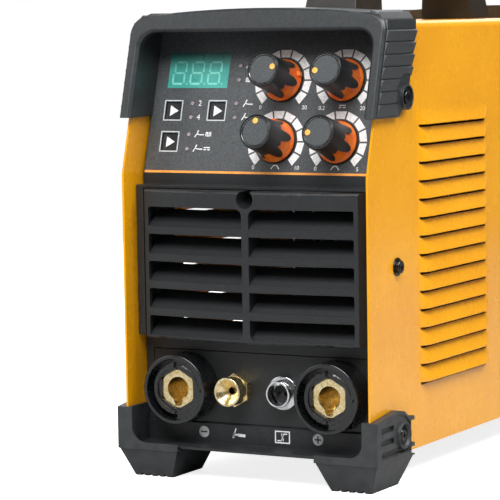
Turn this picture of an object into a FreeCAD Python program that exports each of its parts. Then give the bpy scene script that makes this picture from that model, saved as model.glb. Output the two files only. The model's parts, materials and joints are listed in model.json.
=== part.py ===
"""TIG welding machine in a sheet steel case, as an assembly of separate pieces.

Row frame in millimetres: +X to the right of someone facing the front, +Y to the rear, +Z up.
The origin is on the ground under the middle of the machine.
"""
import FreeCAD
import Part
import math
import os

V = FreeCAD.Vector

# Case
CASE_W = 152.2          # outside width of the sheet cover
CASE_L = 400.0          # cover length, front edge to rear edge
CASE_BOTTOM = 17.2      # cover's lower edge above the ground
CASE_TOP = 252.4        # cover's flat top above the ground
KINK_Z = 170.0          # height where the end edges start to lean back
LEAN = 16.0             # lean of the upper end edges, degrees
SHEET = 1.2             # sheet thickness of the cover
BEND_R = 4.0            # outside bend radius of the cover
FIT = 0.3               # gap between pieces that seat on each other
RECESS = 20.0           # depth of both end panels behind the cover's edge

# Louvres pressed into both sides of the cover
LOUVRE_COUNT = 15
LOUVRE_PITCH = 10.18
LOUVRE_LIP_Z = 195.6    # lip height of the top louvre
LOUVRE_FROM = 63.0      # start behind the front edge
LOUVRE_LEN = 92.0
LOUVRE_OUT = 3.4        # how far a lip stands out
LOUVRE_GAP = 1.6        # open slot under each lip
LOUVRE_WALL = 1.1
LOUVRE_END_R = 12.0

# Corner guards
HOOD_OUT = 3.0          # wall of the hood over the cover
HOOD_BOTTOM = 201.0
HOOD_FRONT = 2.5        # rim's front face at the hood's lower end, behind the cover's front edge
HOOD_DEPTH = 39.3
HOOD_SIDE_TOP = 257.3
HOOD_CROWN_TOP = 260.7
HOOD_CORNER_R = 10.0
HOOD_RIM_W = 6.9        # width of the rim seen from the front
HOOD_RIM_TOP = 248.1    # lower edge of the rim's top bar
HOOD_EDGE = 1.4         # chamfer round the rim's outside
HOOD_BEVEL = 1.7        # chamfer round the mouth
HOOD_LINER_T = 1.8      # inner wall between the rim and the control panel
HOOD_RIB_COUNT = 7      # ribs on each upright side
HOOD_RIB_PITCH = 6.6
HOOD_RIB_OUT = 1.4
HOOD_RIB_IN = 3.2       # plain strip between the rim's face and the ribs
HOOD_CORNER_RIBS = (33.0, 66.0, 95.0)   # ribs round each top corner, degrees up from level
HOOD_SCREW_BACK = 42.0
HOOD_SCREW_Z = 211.5
HOOD_BOSS_R = 7.0
HOOD_BOSS_OUT = 1.4
HOOD_WELL_R = 6.0
HOOD_SEAT_IN = 0.6      # screw seat below the side face
HOOD_CLEARING = 13.0    # ribs stop this far from the screw's axis

# Feet
FOOT_OUT = 4.8          # wall of the foot outside the cover
FOOT_FRONT = 2.0        # how far the foot stands in front of the cover's edge
FOOT_W = 38.4
FOOT_LEN = 47.0
FOOT_TAPER_Z = 16.0     # height of the tapered pad
FOOT_TAPER = 7.1        # taper of each side of the pad
FOOT_ARM_W = 9.4
FOOT_ARM_TOP = 39.6
FOOT_SIDE_TOP = 43.0
FOOT_SILL_TOP = 20.0
FOOT_GROOVES = 4
FOOT_LEDGE = 0.7        # pad's top stands in this far under the arm
FOOT_LINER_T = 1.8      # wall inside the cover behind the arm
FOOT_RAIL = 2.2         # raised rail along the side's top edge
FOOT_TAB_T = 2.2
FOOT_TAB_LEN = 5.0      # tabs behind the side's rear edge
FOOT_SCREW_BACK = 32.0
FOOT_SCREW_Z = 28.5
FOOT_BOSS_R = 7.4
FOOT_WELL_R = 5.6
FOOT_SEAT_IN = 2.4      # screw seat below the side face

# Handle
HANDLE_LEN = 193.0
HANDLE_BACK = 2.5       # handle's middle behind the machine's middle
HANDLE_W = 34.4
HANDLE_TOP = 300.0
HANDLE_TOP_W = 25.0
HANDLE_FRONT_LEG = 36.0 # length of each leg where it stands on the cover
HANDLE_REAR_LEG = 29.0
HANDLE_GRIP_T = 20.0
HANDLE_SLOPE = 15.0     # how far the outer faces lean in by the top
HANDLE_BOLT_IN = 15.0   # bolts behind the outer faces of the legs
HANDLE_BOLT_R = 2.5
HANDLE_BOLT_LEN = 16.0
HANDLE_GAP_LEAN = 4.0
GRIP_PAD_W = 16.0
GRIP_PAD_IN = 4.0
GRIP_PAD_OUT = 1.2

# Control panel, in its own leaning plane: x across, v up the slope, h out of the face
PANEL_Z = 169.6         # height of the overlay's lower edge
PANEL_HALF_W = 73.8
PANEL_V = 82.0
PLATE_T = 2.5
OVERLAY_T = 0.4
WINDOW = (-65.3, -26.8, 48.9, 69.4)
BUTTONS = ((-59.7, 36.0), (-31.6, 36.0), (-59.7, 18.1))
BUTTON_W = 9.4
BUTTON_IN = 0.5         # key's face below the overlay
BUTTON_TRAVEL = 0.8
BUTTON_GAP = 0.2
LEDS = ((-47.5, 40.0), (-47.5, 32.0), (-47.5, 22.2), (-47.5, 14.0),
        (-19.5, 40.0), (-19.5, 32.0), (-19.5, 53.5), (-19.5, 61.5))
LED_R = 1.2
KNOBS = ((8.0, 53.2), (46.0, 53.2), (8.0, 18.6), (46.0, 18.6))
KNOB_POINTS = (15.0, 187.0, 96.0, 183.0)   # where each pointer rests, degrees from +x
KNOB_H = 25.0
KNOB_R = 9.7
KNOB_SKIRT_R = 11.3
KNOB_SKIRT_H = 9.5
KNOB_LIFT = 0.8         # running gap under the knob
KNOB_LOBES = 6
KNOB_LOBE_W = 5.0
KNOB_DOT_R = 1.7
KNOB_DOT_AT = 6.2
SHAFT_R = 3.0
SHAFT_GAP = 0.08
BUSH_R = 3.6
BUSH_OUT = 2.6
POT_R = 8.0
BOARD_BACK = 15.0       # control board's front face behind the overlay's face
BOARD_T = 1.6

# Air grille
GRILLE_HALF_W = 69.4
GRILLE_FACE_HALF = 66.3
GRILLE_BOTTOM = 77.8
GRILLE_TOP = 161.3
GRILLE_EDGE_BACK = 7.5  # face at its side edges, behind the cover's edge
GRILLE_BULGE = 5.0
GRILLE_WALL = 2.6
SLOT_ROWS = 5
SLOT_PITCH = 15.2
SLOT_H = 11.0
SLOT_TOP = 151.7
SLOT_HALF_W = 63.8
SLOT_CORNER_R = 1.2
SLOT_MIDDLE_R = 4.0     # corners beside the mullion in the first and last rows
GRILLE_MULLION = 4.4
BLADE_T = 1.6
BLADE_RUN = 9.0
FRAME_BACK = 12.0       # face of the raised frame round the grille
FRAME_BOTTOM = 78.8
FRAME_TOP = 163.3
GRILLE_SCREW_Z = 157.0
GRILLE_HOLE_R = 5.1

# Connectors
SILL_FRONT = 1.0        # front edge of the lip along the bottom
SILL_LIP_TOP = 19.0
SILL_FACE = 18.0        # upright face above the lip, behind the cover's edge
SILL_TOP = 30.0
SILL_HALF_W = 72.5
CONNECTOR_Z = 50.0
INSERT_HALF_W = 69.0
INSERT_BOTTOM = 30.5
INSERT_TOP = 70.5
INSERT_T = 3.0
INSERT_IN = 1.2         # how deep the plate's rim is let in
INSERT_STEP = 4.3       # width of the rim
SOCKET_X = 47.3
SOCKET_R = 19.5
SOCKET_FRONT = 3.6      # rim's front face behind the cover's edge
SOCKET_RIM = 2.2
SOCKET_CORE_R = 14.4
SOCKET_NECK_R = 12.5
SOCKET_BORE_R = 6.6
SOCKET_BORE_LEN = 30.0
SOCKET_HEX = 20.0
SOCKET_HEX_BACK = 5.0   # brass face behind the rim
SOCKET_KEY_W = 5.6
GAS_X = -15.0
GAS_FRONT = 6.2
GAS_SPOUT = 8.8
GAS_DISH = 5.6          # depth of the sealing cone
GAS_R = 8.1
GAS_BORE_R = 1.75
GAS_HEX = 16.5
CONTROL_X = 15.0
CONTROL_FRONT = 9.5
CONTROL_R = 7.4
CONTROL_FLANGE_R = 9.6
CONTROL_PIN_R = 0.9

# Screws
SCREW_R = 2.0
PILOT_R = 1.7           # hole a screw cuts its own thread in
SCREW_HEAD_R = 3.6
SCREW_HEAD_H = 2.2
WASHER_R = 5.0
WASHER_T = 0.8
SIDE_SCREW_BACK = 34.5
SIDE_SCREW_Z = 120.0

# Inside
FLOOR_T = 1.5
TRAY_FLANGE = 30.0
DIVIDER_T = 1.2
DIVIDER_X = -6.0        # left face of the upright plate that parts the air tunnel from the electronics
BOARD_X = 4.0           # power board's left face, on studs from the divider
SINK_W = 58.0
SINK_H = 70.0
SINK_GAPS = 8
SINK_GAP = 4.5
SINK_FIN_T = 4.0
CAPACITOR_R = 15.0
CAPACITOR_LEN = 50.0
HOSE_R = 4.0
BARB_R = 4.0
HOSE_BORE_R = 2.5
HOSE_FIT = 0.15         # tail pieces inside the hose
CHOKE_X = -46.5
CHOKE_Y = -45.0
CHOKE_R = 25.0
FAN = 119.0
FAN_DEPTH = 38.0
FAN_BLADES = 7
FAN_Z = 106.0
FAN_HUB_R = 22.0
FAN_HOLES = 54.5        # half the spacing of the corner holes
GUARD_RINGS = (12.0, 26.0, 40.0, 54.0)
GUARD_T = 2.4
FAN_TIP_GAP = 1.5
VALVE_X = -14.0
VALVE_Z = 32.0
PLUNGER_R = 5.0
PLUNGER_TRAVEL = 2.0
VALVE_COIL_R = 12.0
VALVE_COIL_LEN = 37.0
SWITCH_X = -38.0
SWITCH_V = 34.0
SWITCH_W = 26.0
SWITCH_H = 30.0
ROCKER_TILT = 12.0
GLAND_X = 40.0
GLAND_V = 34.0
GLAND_BORE_R = 5.0
GLAND_R = 9.0
GLAND_LEN = 24.0
REAR_T = 1.5
VENT_ROWS = 9           # slots in the rear panel behind the fan guard
VENT_PITCH = 12.0
VENT_R = 54.0

# Worked out from the above
FRONT = -CASE_L / 2
HALF_W = CASE_W / 2
INNER_HALF_W = HALF_W - SHEET
LEAN_TAN = math.tan(math.radians(LEAN))
LEAN_SIN = math.sin(math.radians(LEAN))
LEAN_COS = math.cos(math.radians(LEAN))
CASE_TOP_BACK = (CASE_TOP - KINK_Z) * LEAN_TAN
FLOOR_Z = CASE_BOTTOM + FLOOR_T + FIT
PANEL_Y = FRONT + RECESS
REAR_FACE = -FRONT - RECESS
REAR_BACK = REAR_FACE - REAR_T
TOL = 0.05


# ---------------------------------------------------------------- small helpers
def box(x0, x1, y0, y1, z0, z1):
    return Part.makeBox(x1 - x0, y1 - y0, z1 - z0, V(x0, y0, z0))


def rod(radius, start, end):
    start, end = V(*start), V(*end)
    return Part.makeCylinder(radius, (end - start).Length, start, end - start)


def cone(r_start, r_end, start, end):
    start, end = V(*start), V(*end)
    return Part.makeCone(r_start, r_end, (end - start).Length, start, end - start)


def polygon(points):
    return Part.Face(Part.makePolygon([V(*p) for p in points + [points[0]]]))


def prism_x(yz, x0, x1):
    return polygon([(x0, y, z) for y, z in yz]).extrude(V(x1 - x0, 0, 0))


def prism_y(xz, y0, y1):
    return polygon([(x, y0, z) for x, z in xz]).extrude(V(0, y1 - y0, 0))


def prism_z(xy, z0, z1):
    return polygon([(x, y, z0) for x, y in xy]).extrude(V(0, 0, z1 - z0))


def hexagon_y(across_flats, x, z, y0, y1):
    """Hexagonal bar along Y with a corner at the top."""
    corner = across_flats / math.sqrt(3)
    turns = [math.radians(90 + 60 * i) for i in range(6)]
    return prism_y([(x + corner * math.cos(t), z + corner * math.sin(t)) for t in turns], y0, y1)


def join(shapes):
    first, rest = shapes[0], shapes[1:]
    return first.multiFuse(rest).removeSplitter() if rest else first


def rounded(shape, radius, wanted):
    """Fillets the edges that wanted(edge) picks."""
    return shape.makeFillet(radius, [e for e in shape.Edges if wanted(e)])


def along(edge, axis):
    ends = edge.Vertexes
    if len(ends) < 2:
        return False
    step = ends[1].Point - ends[0].Point
    return step.Length > 1e-6 and abs(abs(step.normalize().dot(V(*axis))) - 1) < 1e-6


def mirrored_x(shape):
    return shape.mirror(V(0, 0, 0), V(1, 0, 0))


def turned(shape):
    """The same piece at the other end of the machine."""
    other = shape.copy()
    other.rotate(V(0, 0, 0), V(0, 0, 1), 180)
    return other


def on_panel(shape):
    """Moves a shape made in panel coordinates (x, v, h) onto the leaning control panel."""
    placed = shape.copy()
    turn = FreeCAD.Matrix(1, 0, 0, 0,
                          0, LEAN_SIN, -LEAN_COS, PANEL_Y,
                          0, LEAN_COS, LEAN_SIN, PANEL_Z,
                          0, 0, 0, 1)
    placed.Placement = FreeCAD.Placement(turn).multiply(placed.Placement)
    return placed


# ---------------------------------------------------------------- case
def end_to_end():
    """Side view of the cover."""
    half = CASE_L / 2
    top = half - CASE_TOP_BACK
    return [(-half, CASE_BOTTOM), (-half, KINK_Z), (-top, CASE_TOP),
            (top, CASE_TOP), (half, KINK_Z), (half, CASE_BOTTOM)]


def arch(half_w, top, radius):
    """Solid with the cover's cross-section, longer than the case."""
    shape = box(-half_w, half_w, -CASE_L, CASE_L, CASE_BOTTOM - 1, top)
    return rounded(shape, radius, lambda e: along(e, (0, 1, 0)) and e.CenterOfMass.z > top - 0.01)


def louvre_lens(from_y, to_y, depth, end_r, z0, z1):
    """Upright solid whose plan is a shallow hood: flat front, curved ends, on the cover's right side."""
    x = HALF_W
    run = math.sqrt(end_r ** 2 - (end_r - depth) ** 2)
    back = x - SHEET - 2
    angle = math.acos((end_r - depth) / end_r) / 2
    mid_y, mid_x = end_r * math.sin(angle), end_r * math.cos(angle)
    front_edge = x + depth
    points = [V(back, from_y, z0), V(x, from_y, z0), V(front_edge, from_y + run, z0),
              V(front_edge, to_y - run, z0), V(x, to_y, z0), V(back, to_y, z0)]
    low_mid = V(front_edge - end_r + mid_x, from_y + run - mid_y, z0)
    high_mid = V(front_edge - end_r + mid_x, to_y - run + mid_y, z0)
    edges = [Part.makeLine(points[0], points[1]),
             Part.Arc(points[1], low_mid, points[2]).toShape(),
             Part.makeLine(points[2], points[3]),
             Part.Arc(points[3], high_mid, points[4]).toShape(),
             Part.makeLine(points[4], points[5]),
             Part.makeLine(points[5], points[0])]
    return Part.Face(Part.Wire(edges)).extrude(V(0, 0, z1 - z0))


def louvre(index):
    """(raised hood, hollow under it) of one louvre on the right side."""
    lip_z = LOUVRE_LIP_Z - index * LOUVRE_PITCH
    top_z = lip_z + LOUVRE_PITCH - 0.6
    y0 = FRONT + LOUVRE_FROM
    y1 = y0 + LOUVRE_LEN
    x = HALF_W
    outside = prism_y([(x - SHEET / 2, lip_z), (x + LOUVRE_OUT, lip_z), (x + LOUVRE_OUT, lip_z + 1.0),
                       (x, top_z), (x - SHEET / 2, top_z)], y0, y1)
    outside = outside.common(louvre_lens(y0, y1, LOUVRE_OUT, LOUVRE_END_R, lip_z, top_z))
    inner = x + LOUVRE_OUT - LOUVRE_WALL
    gap_z = lip_z - LOUVRE_GAP
    hollow = prism_y([(x - SHEET - 1, gap_z), (x + 0.4, gap_z), (inner, lip_z - 0.2), (inner, lip_z + 0.6),
                      (x - SHEET, top_z - 2.2), (x - SHEET - 1, top_z - 2.2)], y0, y1)
    hollow = hollow.common(louvre_lens(y0 + LOUVRE_WALL, y1 - LOUVRE_WALL, LOUVRE_OUT - LOUVRE_WALL,
                                       LOUVRE_END_R, gap_z - 1, top_z))
    return outside, hollow


def side_holes():
    """Screw holes through both sides of the cover, for side screws, hoods and feet."""
    holes = []
    for back, z in ((SIDE_SCREW_BACK, SIDE_SCREW_Z), (HOOD_SCREW_BACK, HOOD_SCREW_Z),
                    (FOOT_SCREW_BACK, FOOT_SCREW_Z)):
        y = FRONT + back
        for end in (y, -y):
            holes.append(rod(SCREW_R + 0.2, (-HALF_W - 1, end, z), (HALF_W + 1, end, z)))
    return holes


def handle_ends():
    """Front and rear faces of the handle where it stands on the cover."""
    return HANDLE_BACK - HANDLE_LEN / 2, HANDLE_BACK + HANDLE_LEN / 2


def handle_bolts():
    """Places of the handle's bolts on the cover's top."""
    front, rear = handle_ends()
    return [front + HANDLE_BOLT_IN, rear - HANDLE_BOLT_IN]


def cover_shell():
    body = prism_x(end_to_end(), -HALF_W, HALF_W)
    body = body.common(arch(HALF_W, CASE_TOP, BEND_R))
    body = body.cut(arch(INNER_HALF_W, CASE_TOP - SHEET, BEND_R - SHEET))
    raised, hollow = zip(*[louvre(i) for i in range(LOUVRE_COUNT)])
    raised = list(raised) + [mirrored_x(s) for s in raised]
    hollow = list(hollow) + [mirrored_x(s) for s in hollow]
    body = body.multiFuse(raised)
    bolts = [rod(HANDLE_BOLT_R + 0.3, (0, y, CASE_TOP - 5), (0, y, CASE_TOP + 1)) for y in handle_bolts()]
    return body.cut(Part.makeCompound(hollow)).cut(Part.makeCompound(side_holes() + bolts))


def base_tray():
    """Folded floor pan inside the cover, with side flanges."""
    half = INNER_HALF_W - FIT
    y0, y1 = FRONT + RECESS + PLATE_T + FIT, -FRONT - RECESS - REAR_T - FIT
    tray = box(-half, half, y0, y1, FLOOR_Z - FLOOR_T, FLOOR_Z + TRAY_FLANGE)
    tray = tray.cut(box(-half + FLOOR_T, half - FLOOR_T, y0 - 1, y1 + 1, FLOOR_Z, CASE_TOP))
    for y in (FRONT + FOOT_SCREW_BACK, -FRONT - FOOT_SCREW_BACK):
        tray = tray.cut(rod(SCREW_R, (-HALF_W, y, FOOT_SCREW_Z), (HALF_W, y, FOOT_SCREW_Z)))
    return tray


# ---------------------------------------------------------------- corner guards
def hood_outline(half_w, side_top, crown_top, corner_r, bottom):
    """Cross-section of the hood's outside as a face in the XZ plane at Y = 0."""
    c = corner_r * (1 - math.sqrt(0.5))
    low = side_top - corner_r
    inset = half_w - corner_r
    left = [Part.makeLine(V(-half_w, 0, bottom), V(-half_w, 0, low)),
            Part.Arc(V(-half_w, 0, low), V(-half_w + c, 0, side_top - c), V(-inset, 0, side_top)).toShape()]
    crown = Part.Arc(V(-inset, 0, side_top), V(0, 0, crown_top), V(inset, 0, side_top)).toShape()
    right = [Part.Arc(V(inset, 0, side_top), V(half_w - c, 0, side_top - c), V(half_w, 0, low)).toShape(),
             Part.makeLine(V(half_w, 0, low), V(half_w, 0, bottom))]
    floor = Part.makeLine(V(half_w, 0, bottom), V(-half_w, 0, bottom))
    return Part.Face(Part.Wire(left + [crown] + right + [floor]))


def slanted(front_at_bottom, depth, top, cut_corner=0.0):
    """Side view strip parallel to the leaning edge, from the hood's lower end up."""
    rise = (top - HOOD_BOTTOM) * LEAN_TAN
    y0 = FRONT + front_at_bottom
    points = [(y0, HOOD_BOTTOM), (y0 + rise, top), (y0 + depth + rise, top)]
    if cut_corner:
        lift = cut_corner * LEAN_TAN
        points += [(y0 + depth + lift, HOOD_BOTTOM + cut_corner), (y0 + depth - cut_corner, HOOD_BOTTOM)]
    else:
        points += [(y0 + depth, HOOD_BOTTOM)]
    return prism_x(points, -HALF_W - 30, HALF_W + 30)


def front_hood():
    outer_half = HALF_W + HOOD_OUT
    skin = hood_outline(outer_half, HOOD_SIDE_TOP, HOOD_CROWN_TOP, HOOD_CORNER_R, HOOD_BOTTOM)
    skin.translate(V(0, FRONT - 5, 0))
    over = HOOD_CROWN_TOP + 5
    solid = skin.extrude(V(0, 90, 0)).common(slanted(HOOD_FRONT, HOOD_DEPTH, over, 9.0))
    rim = [e for e in solid.Edges if on_front_plane(e) and e.Length > 3 and not along(e, (1, 0, 0))]
    solid = solid.makeChamfer(HOOD_EDGE, rim)
    inset = outer_half - HOOD_RIM_W
    mouth = box(-inset, inset, FRONT - 20, FRONT + 90, HOOD_BOTTOM - 1, HOOD_RIM_TOP)
    mouth = rounded(mouth, 9.0, lambda e: along(e, (0, 1, 0)) and e.CenterOfMass.z > HOOD_RIM_TOP - 1)
    solid = solid.cut(mouth)
    lips = [e for e in solid.Edges if on_front_plane(e) and abs(e.CenterOfMass.x) < inset + TOL
            and HOOD_BOTTOM + TOL < e.CenterOfMass.z < HOOD_RIM_TOP + TOL]
    solid = solid.makeChamfer(HOOD_BEVEL, lips)
    rim_back = (HOOD_BOTTOM - KINK_Z) * LEAN_TAN - FIT
    seat = arch(HALF_W + FIT, CASE_TOP + FIT, BEND_R + FIT).common(slanted(rim_back, 200, over))
    solid = solid.cut(seat).fuse(hood_liner(rim_back)).multiFuse(hood_ribs())
    y = FRONT + HOOD_SCREW_BACK
    z = HOOD_SCREW_Z
    for side in (-1, 1):
        inner, outer = side * (HALF_W + FIT), side * (outer_half + HOOD_BOSS_OUT)
        boss = rod(HOOD_BOSS_R, (inner, y, z), (outer, y, z))
        well = rod(HOOD_WELL_R, (side * (outer_half - HOOD_SEAT_IN), y, z), (2 * outer, y, z))
        hole = rod(SCREW_R + 0.2, (side * INNER_HALF_W, y, z), (2 * outer, y, z))
        solid = solid.fuse(boss).cut(well.fuse(hole))
    return solid.removeSplitter()


def hood_liner(rim_back):
    """Wall inside the cover that closes the space from the rim to the control panel."""
    half, top, radius = INNER_HALF_W - FIT, CASE_TOP - SHEET - FIT, BEND_R - SHEET
    wall = arch(half, top, radius).cut(arch(half - HOOD_LINER_T, top - HOOD_LINER_T, radius))
    start = rim_back - 1.5
    panel_at_bottom = RECESS + (HOOD_BOTTOM - PANEL_Z) * LEAN_TAN
    return wall.common(slanted(start, panel_at_bottom - FIT - start, HOOD_CROWN_TOP))


def hood_ribs():
    """Sawtooth ribs up both sides of the hood and round its top corners."""
    face = HALF_W + HOOD_OUT
    out = HOOD_RIB_OUT
    y0, y1 = FRONT, FRONT + HOOD_DEPTH + 30
    low = HOOD_SIDE_TOP - HOOD_CORNER_R
    ribs = []
    for i in range(HOOD_RIB_COUNT):
        z = low - i * HOOD_RIB_PITCH
        end = z - HOOD_RIB_PITCH * 0.85
        outline = [(face - 0.3, z + 1.0), (face + out, z), (face + 0.2 * out, end), (face - 0.3, end)]
        ribs.append(prism_y(outline, y0, y1))
    for angle in HOOD_CORNER_RIBS:
        steps = ((-0.6, 7), (out, 0), (0.2 * out, -28), (-1.2, -28))
        outline = [corner_point(HOOD_CORNER_R + rise, angle + turn) for rise, turn in steps]
        ribs.append(prism_y(outline, y0, y1))
    strip = slanted(HOOD_FRONT + HOOD_RIB_IN, HOOD_DEPTH - HOOD_RIB_IN, HOOD_CROWN_TOP + 5, 9.0)
    y = FRONT + HOOD_SCREW_BACK
    clearing = rod(HOOD_CLEARING, (face - 5, y, HOOD_SCREW_Z), (face + 5, y, HOOD_SCREW_Z))
    ribs = [rib.common(strip).cut(clearing) for rib in ribs]
    return ribs + [mirrored_x(rib) for rib in ribs]


def corner_point(radius, angle):
    """(x, z) at a distance and a turn from level round the hood's right top corner."""
    turn = math.radians(angle)
    x = HALF_W + HOOD_OUT - HOOD_CORNER_R
    return (x + radius * math.cos(turn), HOOD_SIDE_TOP - HOOD_CORNER_R + radius * math.sin(turn))


def on_front_plane(edge):
    """Whether an edge of the hood lies in the rim's front face."""
    at = edge.CenterOfMass
    return abs(at.y - front_plane(at.z)) < 0.4


def front_plane(z):
    """Where the hood rim's front face is at a height."""
    return FRONT + HOOD_FRONT + (z - HOOD_BOTTOM) * LEAN_TAN


def foot_pad(x0, outer, y0, y1):
    """Tapered pad with a grooved sole."""
    s, ledge = FOOT_TAPER, FOOT_LEDGE
    rings = []
    for z, inset in ((0.0, s), (FOOT_TAPER_Z, ledge)):
        ring = [V(x0 + inset, y0 + inset, z), V(outer - inset, y0 + inset, z),
                V(outer - inset, y1 - inset, z), V(x0 + inset, y1 - inset, z)]
        rings.append(Part.makePolygon(ring + ring[:1]))
    pad = Part.makeLoft(rings, True, True)
    pitch = (FOOT_W - 2 * s) / (FOOT_GROOVES + 1)
    for i in range(FOOT_GROOVES):
        x = x0 + s + pitch * (i + 1)
        pad = pad.cut(prism_y([(x - 1.3, -1), (x + 1.3, -1), (x + 0.7, 1.4), (x - 0.7, 1.4)], y0 - 1, y1 + 1))
    return pad


def foot_right_front():
    outer = HALF_W + FOOT_OUT
    x0 = outer - FOOT_W
    y0 = FRONT - FOOT_FRONT
    y1 = y0 + FOOT_LEN
    front_back = FRONT - 0.2
    low = FOOT_TAPER_Z
    sill = box(x0, outer, y0, front_back, low, FOOT_SILL_TOP)
    shelf = box(x0, outer, y0, y1, low, CASE_BOTTOM - FIT)
    arm = box(outer - FOOT_ARM_W, outer, y0, front_back, low, FOOT_ARM_TOP)
    web_r = 8.0
    web_x, web_z = outer - FOOT_ARM_W - web_r, FOOT_SILL_TOP + web_r
    web = box(web_x, web_x + web_r, y0, front_back, FOOT_SILL_TOP, web_z)
    web = web.cut(rod(web_r, (web_x, y0 - 1, web_z), (web_x, FRONT + 1, web_z)))
    crest = [(y0, FOOT_ARM_TOP), (y0 + 27, FOOT_SIDE_TOP), (y0 + 35, FOOT_SIDE_TOP - 1.5),
             (y0 + 42, FOOT_SIDE_TOP - 6)]
    cheek = prism_x([(y0, low)] + crest + [(y0 + 43, low)], HALF_W + FIT, outer)
    liner_x = INNER_HALF_W - FIT
    liner = box(liner_x - FOOT_LINER_T, liner_x, front_back - 0.5, PANEL_Y - FIT,
                CASE_BOTTOM + FIT, FOOT_ARM_TOP)
    body = join([foot_pad(x0, outer, y0, y1), shelf, sill, arm, web, cheek, liner])
    sunk = [(y, z - FOOT_RAIL) for y, z in crest[1:]]
    field_z = low + 3.0
    field = [(y0 + 5.5, field_z), (y0 + 5.5, FOOT_ARM_TOP - FOOT_RAIL + 0.4)] + sunk + [(y0 + 41.5, field_z)]
    body = body.cut(prism_x(field, outer - 0.9, outer + 1))
    for z, back in ((21.0, 40.5), (27.6, 23.0), (34.2, 23.0)):
        body = body.cut(box(outer - 2.6, outer + 1, y0 + 6.5, y0 + back, z - 1.5, z + 1.5))
    half_tab = FOOT_TAB_T / 2
    for z in (21.8, 36.4):
        tab = box(HALF_W + FIT + 1.0, outer - 0.4, y0 + 40.0, y0 + 43.0 + FOOT_TAB_LEN,
                  z - half_tab, z + half_tab)
        body = body.fuse(tab)
    y = FRONT + FOOT_SCREW_BACK
    z = FOOT_SCREW_Z
    boss = rod(FOOT_BOSS_R, (HALF_W + FIT, y, z), (outer + 0.8, y, z))
    boss = boss.makeChamfer(0.5, [e for e in boss.Edges if e.CenterOfMass.x > outer])
    well = rod(FOOT_WELL_R, (outer - FOOT_SEAT_IN, y, z), (outer + 5, y, z))
    dish = cone(FOOT_WELL_R, FOOT_BOSS_R, (outer - 1.0, y, z), (outer + 1.6, y, z))
    hole = rod(SCREW_R + 0.2, (HALF_W - 1, y, z), (outer + 5, y, z))
    return body.fuse(boss).cut(well).cut(dish).cut(hole).removeSplitter()


# ---------------------------------------------------------------- handle
def handle_body():
    front, rear = handle_ends()
    foot_z = CASE_TOP + TOL
    under = HANDLE_TOP - HANDLE_GRIP_T
    side = prism_x([(front, foot_z), (front + HANDLE_SLOPE, HANDLE_TOP), (rear - HANDLE_SLOPE, HANDLE_TOP),
                    (rear, foot_z)], -HANDLE_W, HANDLE_W)
    side = rounded(side, 12.0, lambda e: along(e, (1, 0, 0)) and e.CenterOfMass.z > HANDLE_TOP - 1)
    gap_front, gap_rear = front + HANDLE_FRONT_LEG, rear - HANDLE_REAR_LEG
    gap = prism_x([(gap_front, foot_z - 5), (gap_front + HANDLE_GAP_LEAN, under),
                   (gap_rear - HANDLE_GAP_LEAN, under), (gap_rear, foot_z - 5)], -HANDLE_W, HANDLE_W)
    gap = rounded(gap, 10.0, lambda e: along(e, (1, 0, 0)) and e.CenterOfMass.z > under - 1)
    w, t = HANDLE_W / 2, HANDLE_TOP_W / 2
    section = prism_y([(-w, foot_z), (-t, HANDLE_TOP), (t, HANDLE_TOP), (w, foot_z)], front - 5, rear + 5)
    section = rounded(section, 6.0, lambda e: along(e, (0, 1, 0)) and e.CenterOfMass.z > HANDLE_TOP - 1)
    body = side.cut(gap).common(section).cut(grip_pad(0.0))
    for y in handle_bolts():
        body = body.cut(rod(HANDLE_BOLT_R, (0, y, foot_z - 1), (0, y, foot_z + HANDLE_BOLT_LEN + 2)))
    return body


def grip_pad(shrink):
    """Soft pad let into the underside of the grip, smaller all round by shrink."""
    front, rear = handle_ends()
    under = HANDLE_TOP - HANDLE_GRIP_T
    w = GRIP_PAD_W / 2 - shrink
    return box(-w, w, front + HANDLE_FRONT_LEG + 15 + shrink, rear - HANDLE_REAR_LEG - 15 - shrink,
               under - GRIP_PAD_OUT, under + GRIP_PAD_IN - shrink)


def handle_underside():
    pad = grip_pad(TOL)
    low = HANDLE_TOP - HANDLE_GRIP_T - GRIP_PAD_OUT
    return rounded(pad, 1.0, lambda e: e.CenterOfMass.z < low + 0.01)


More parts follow.
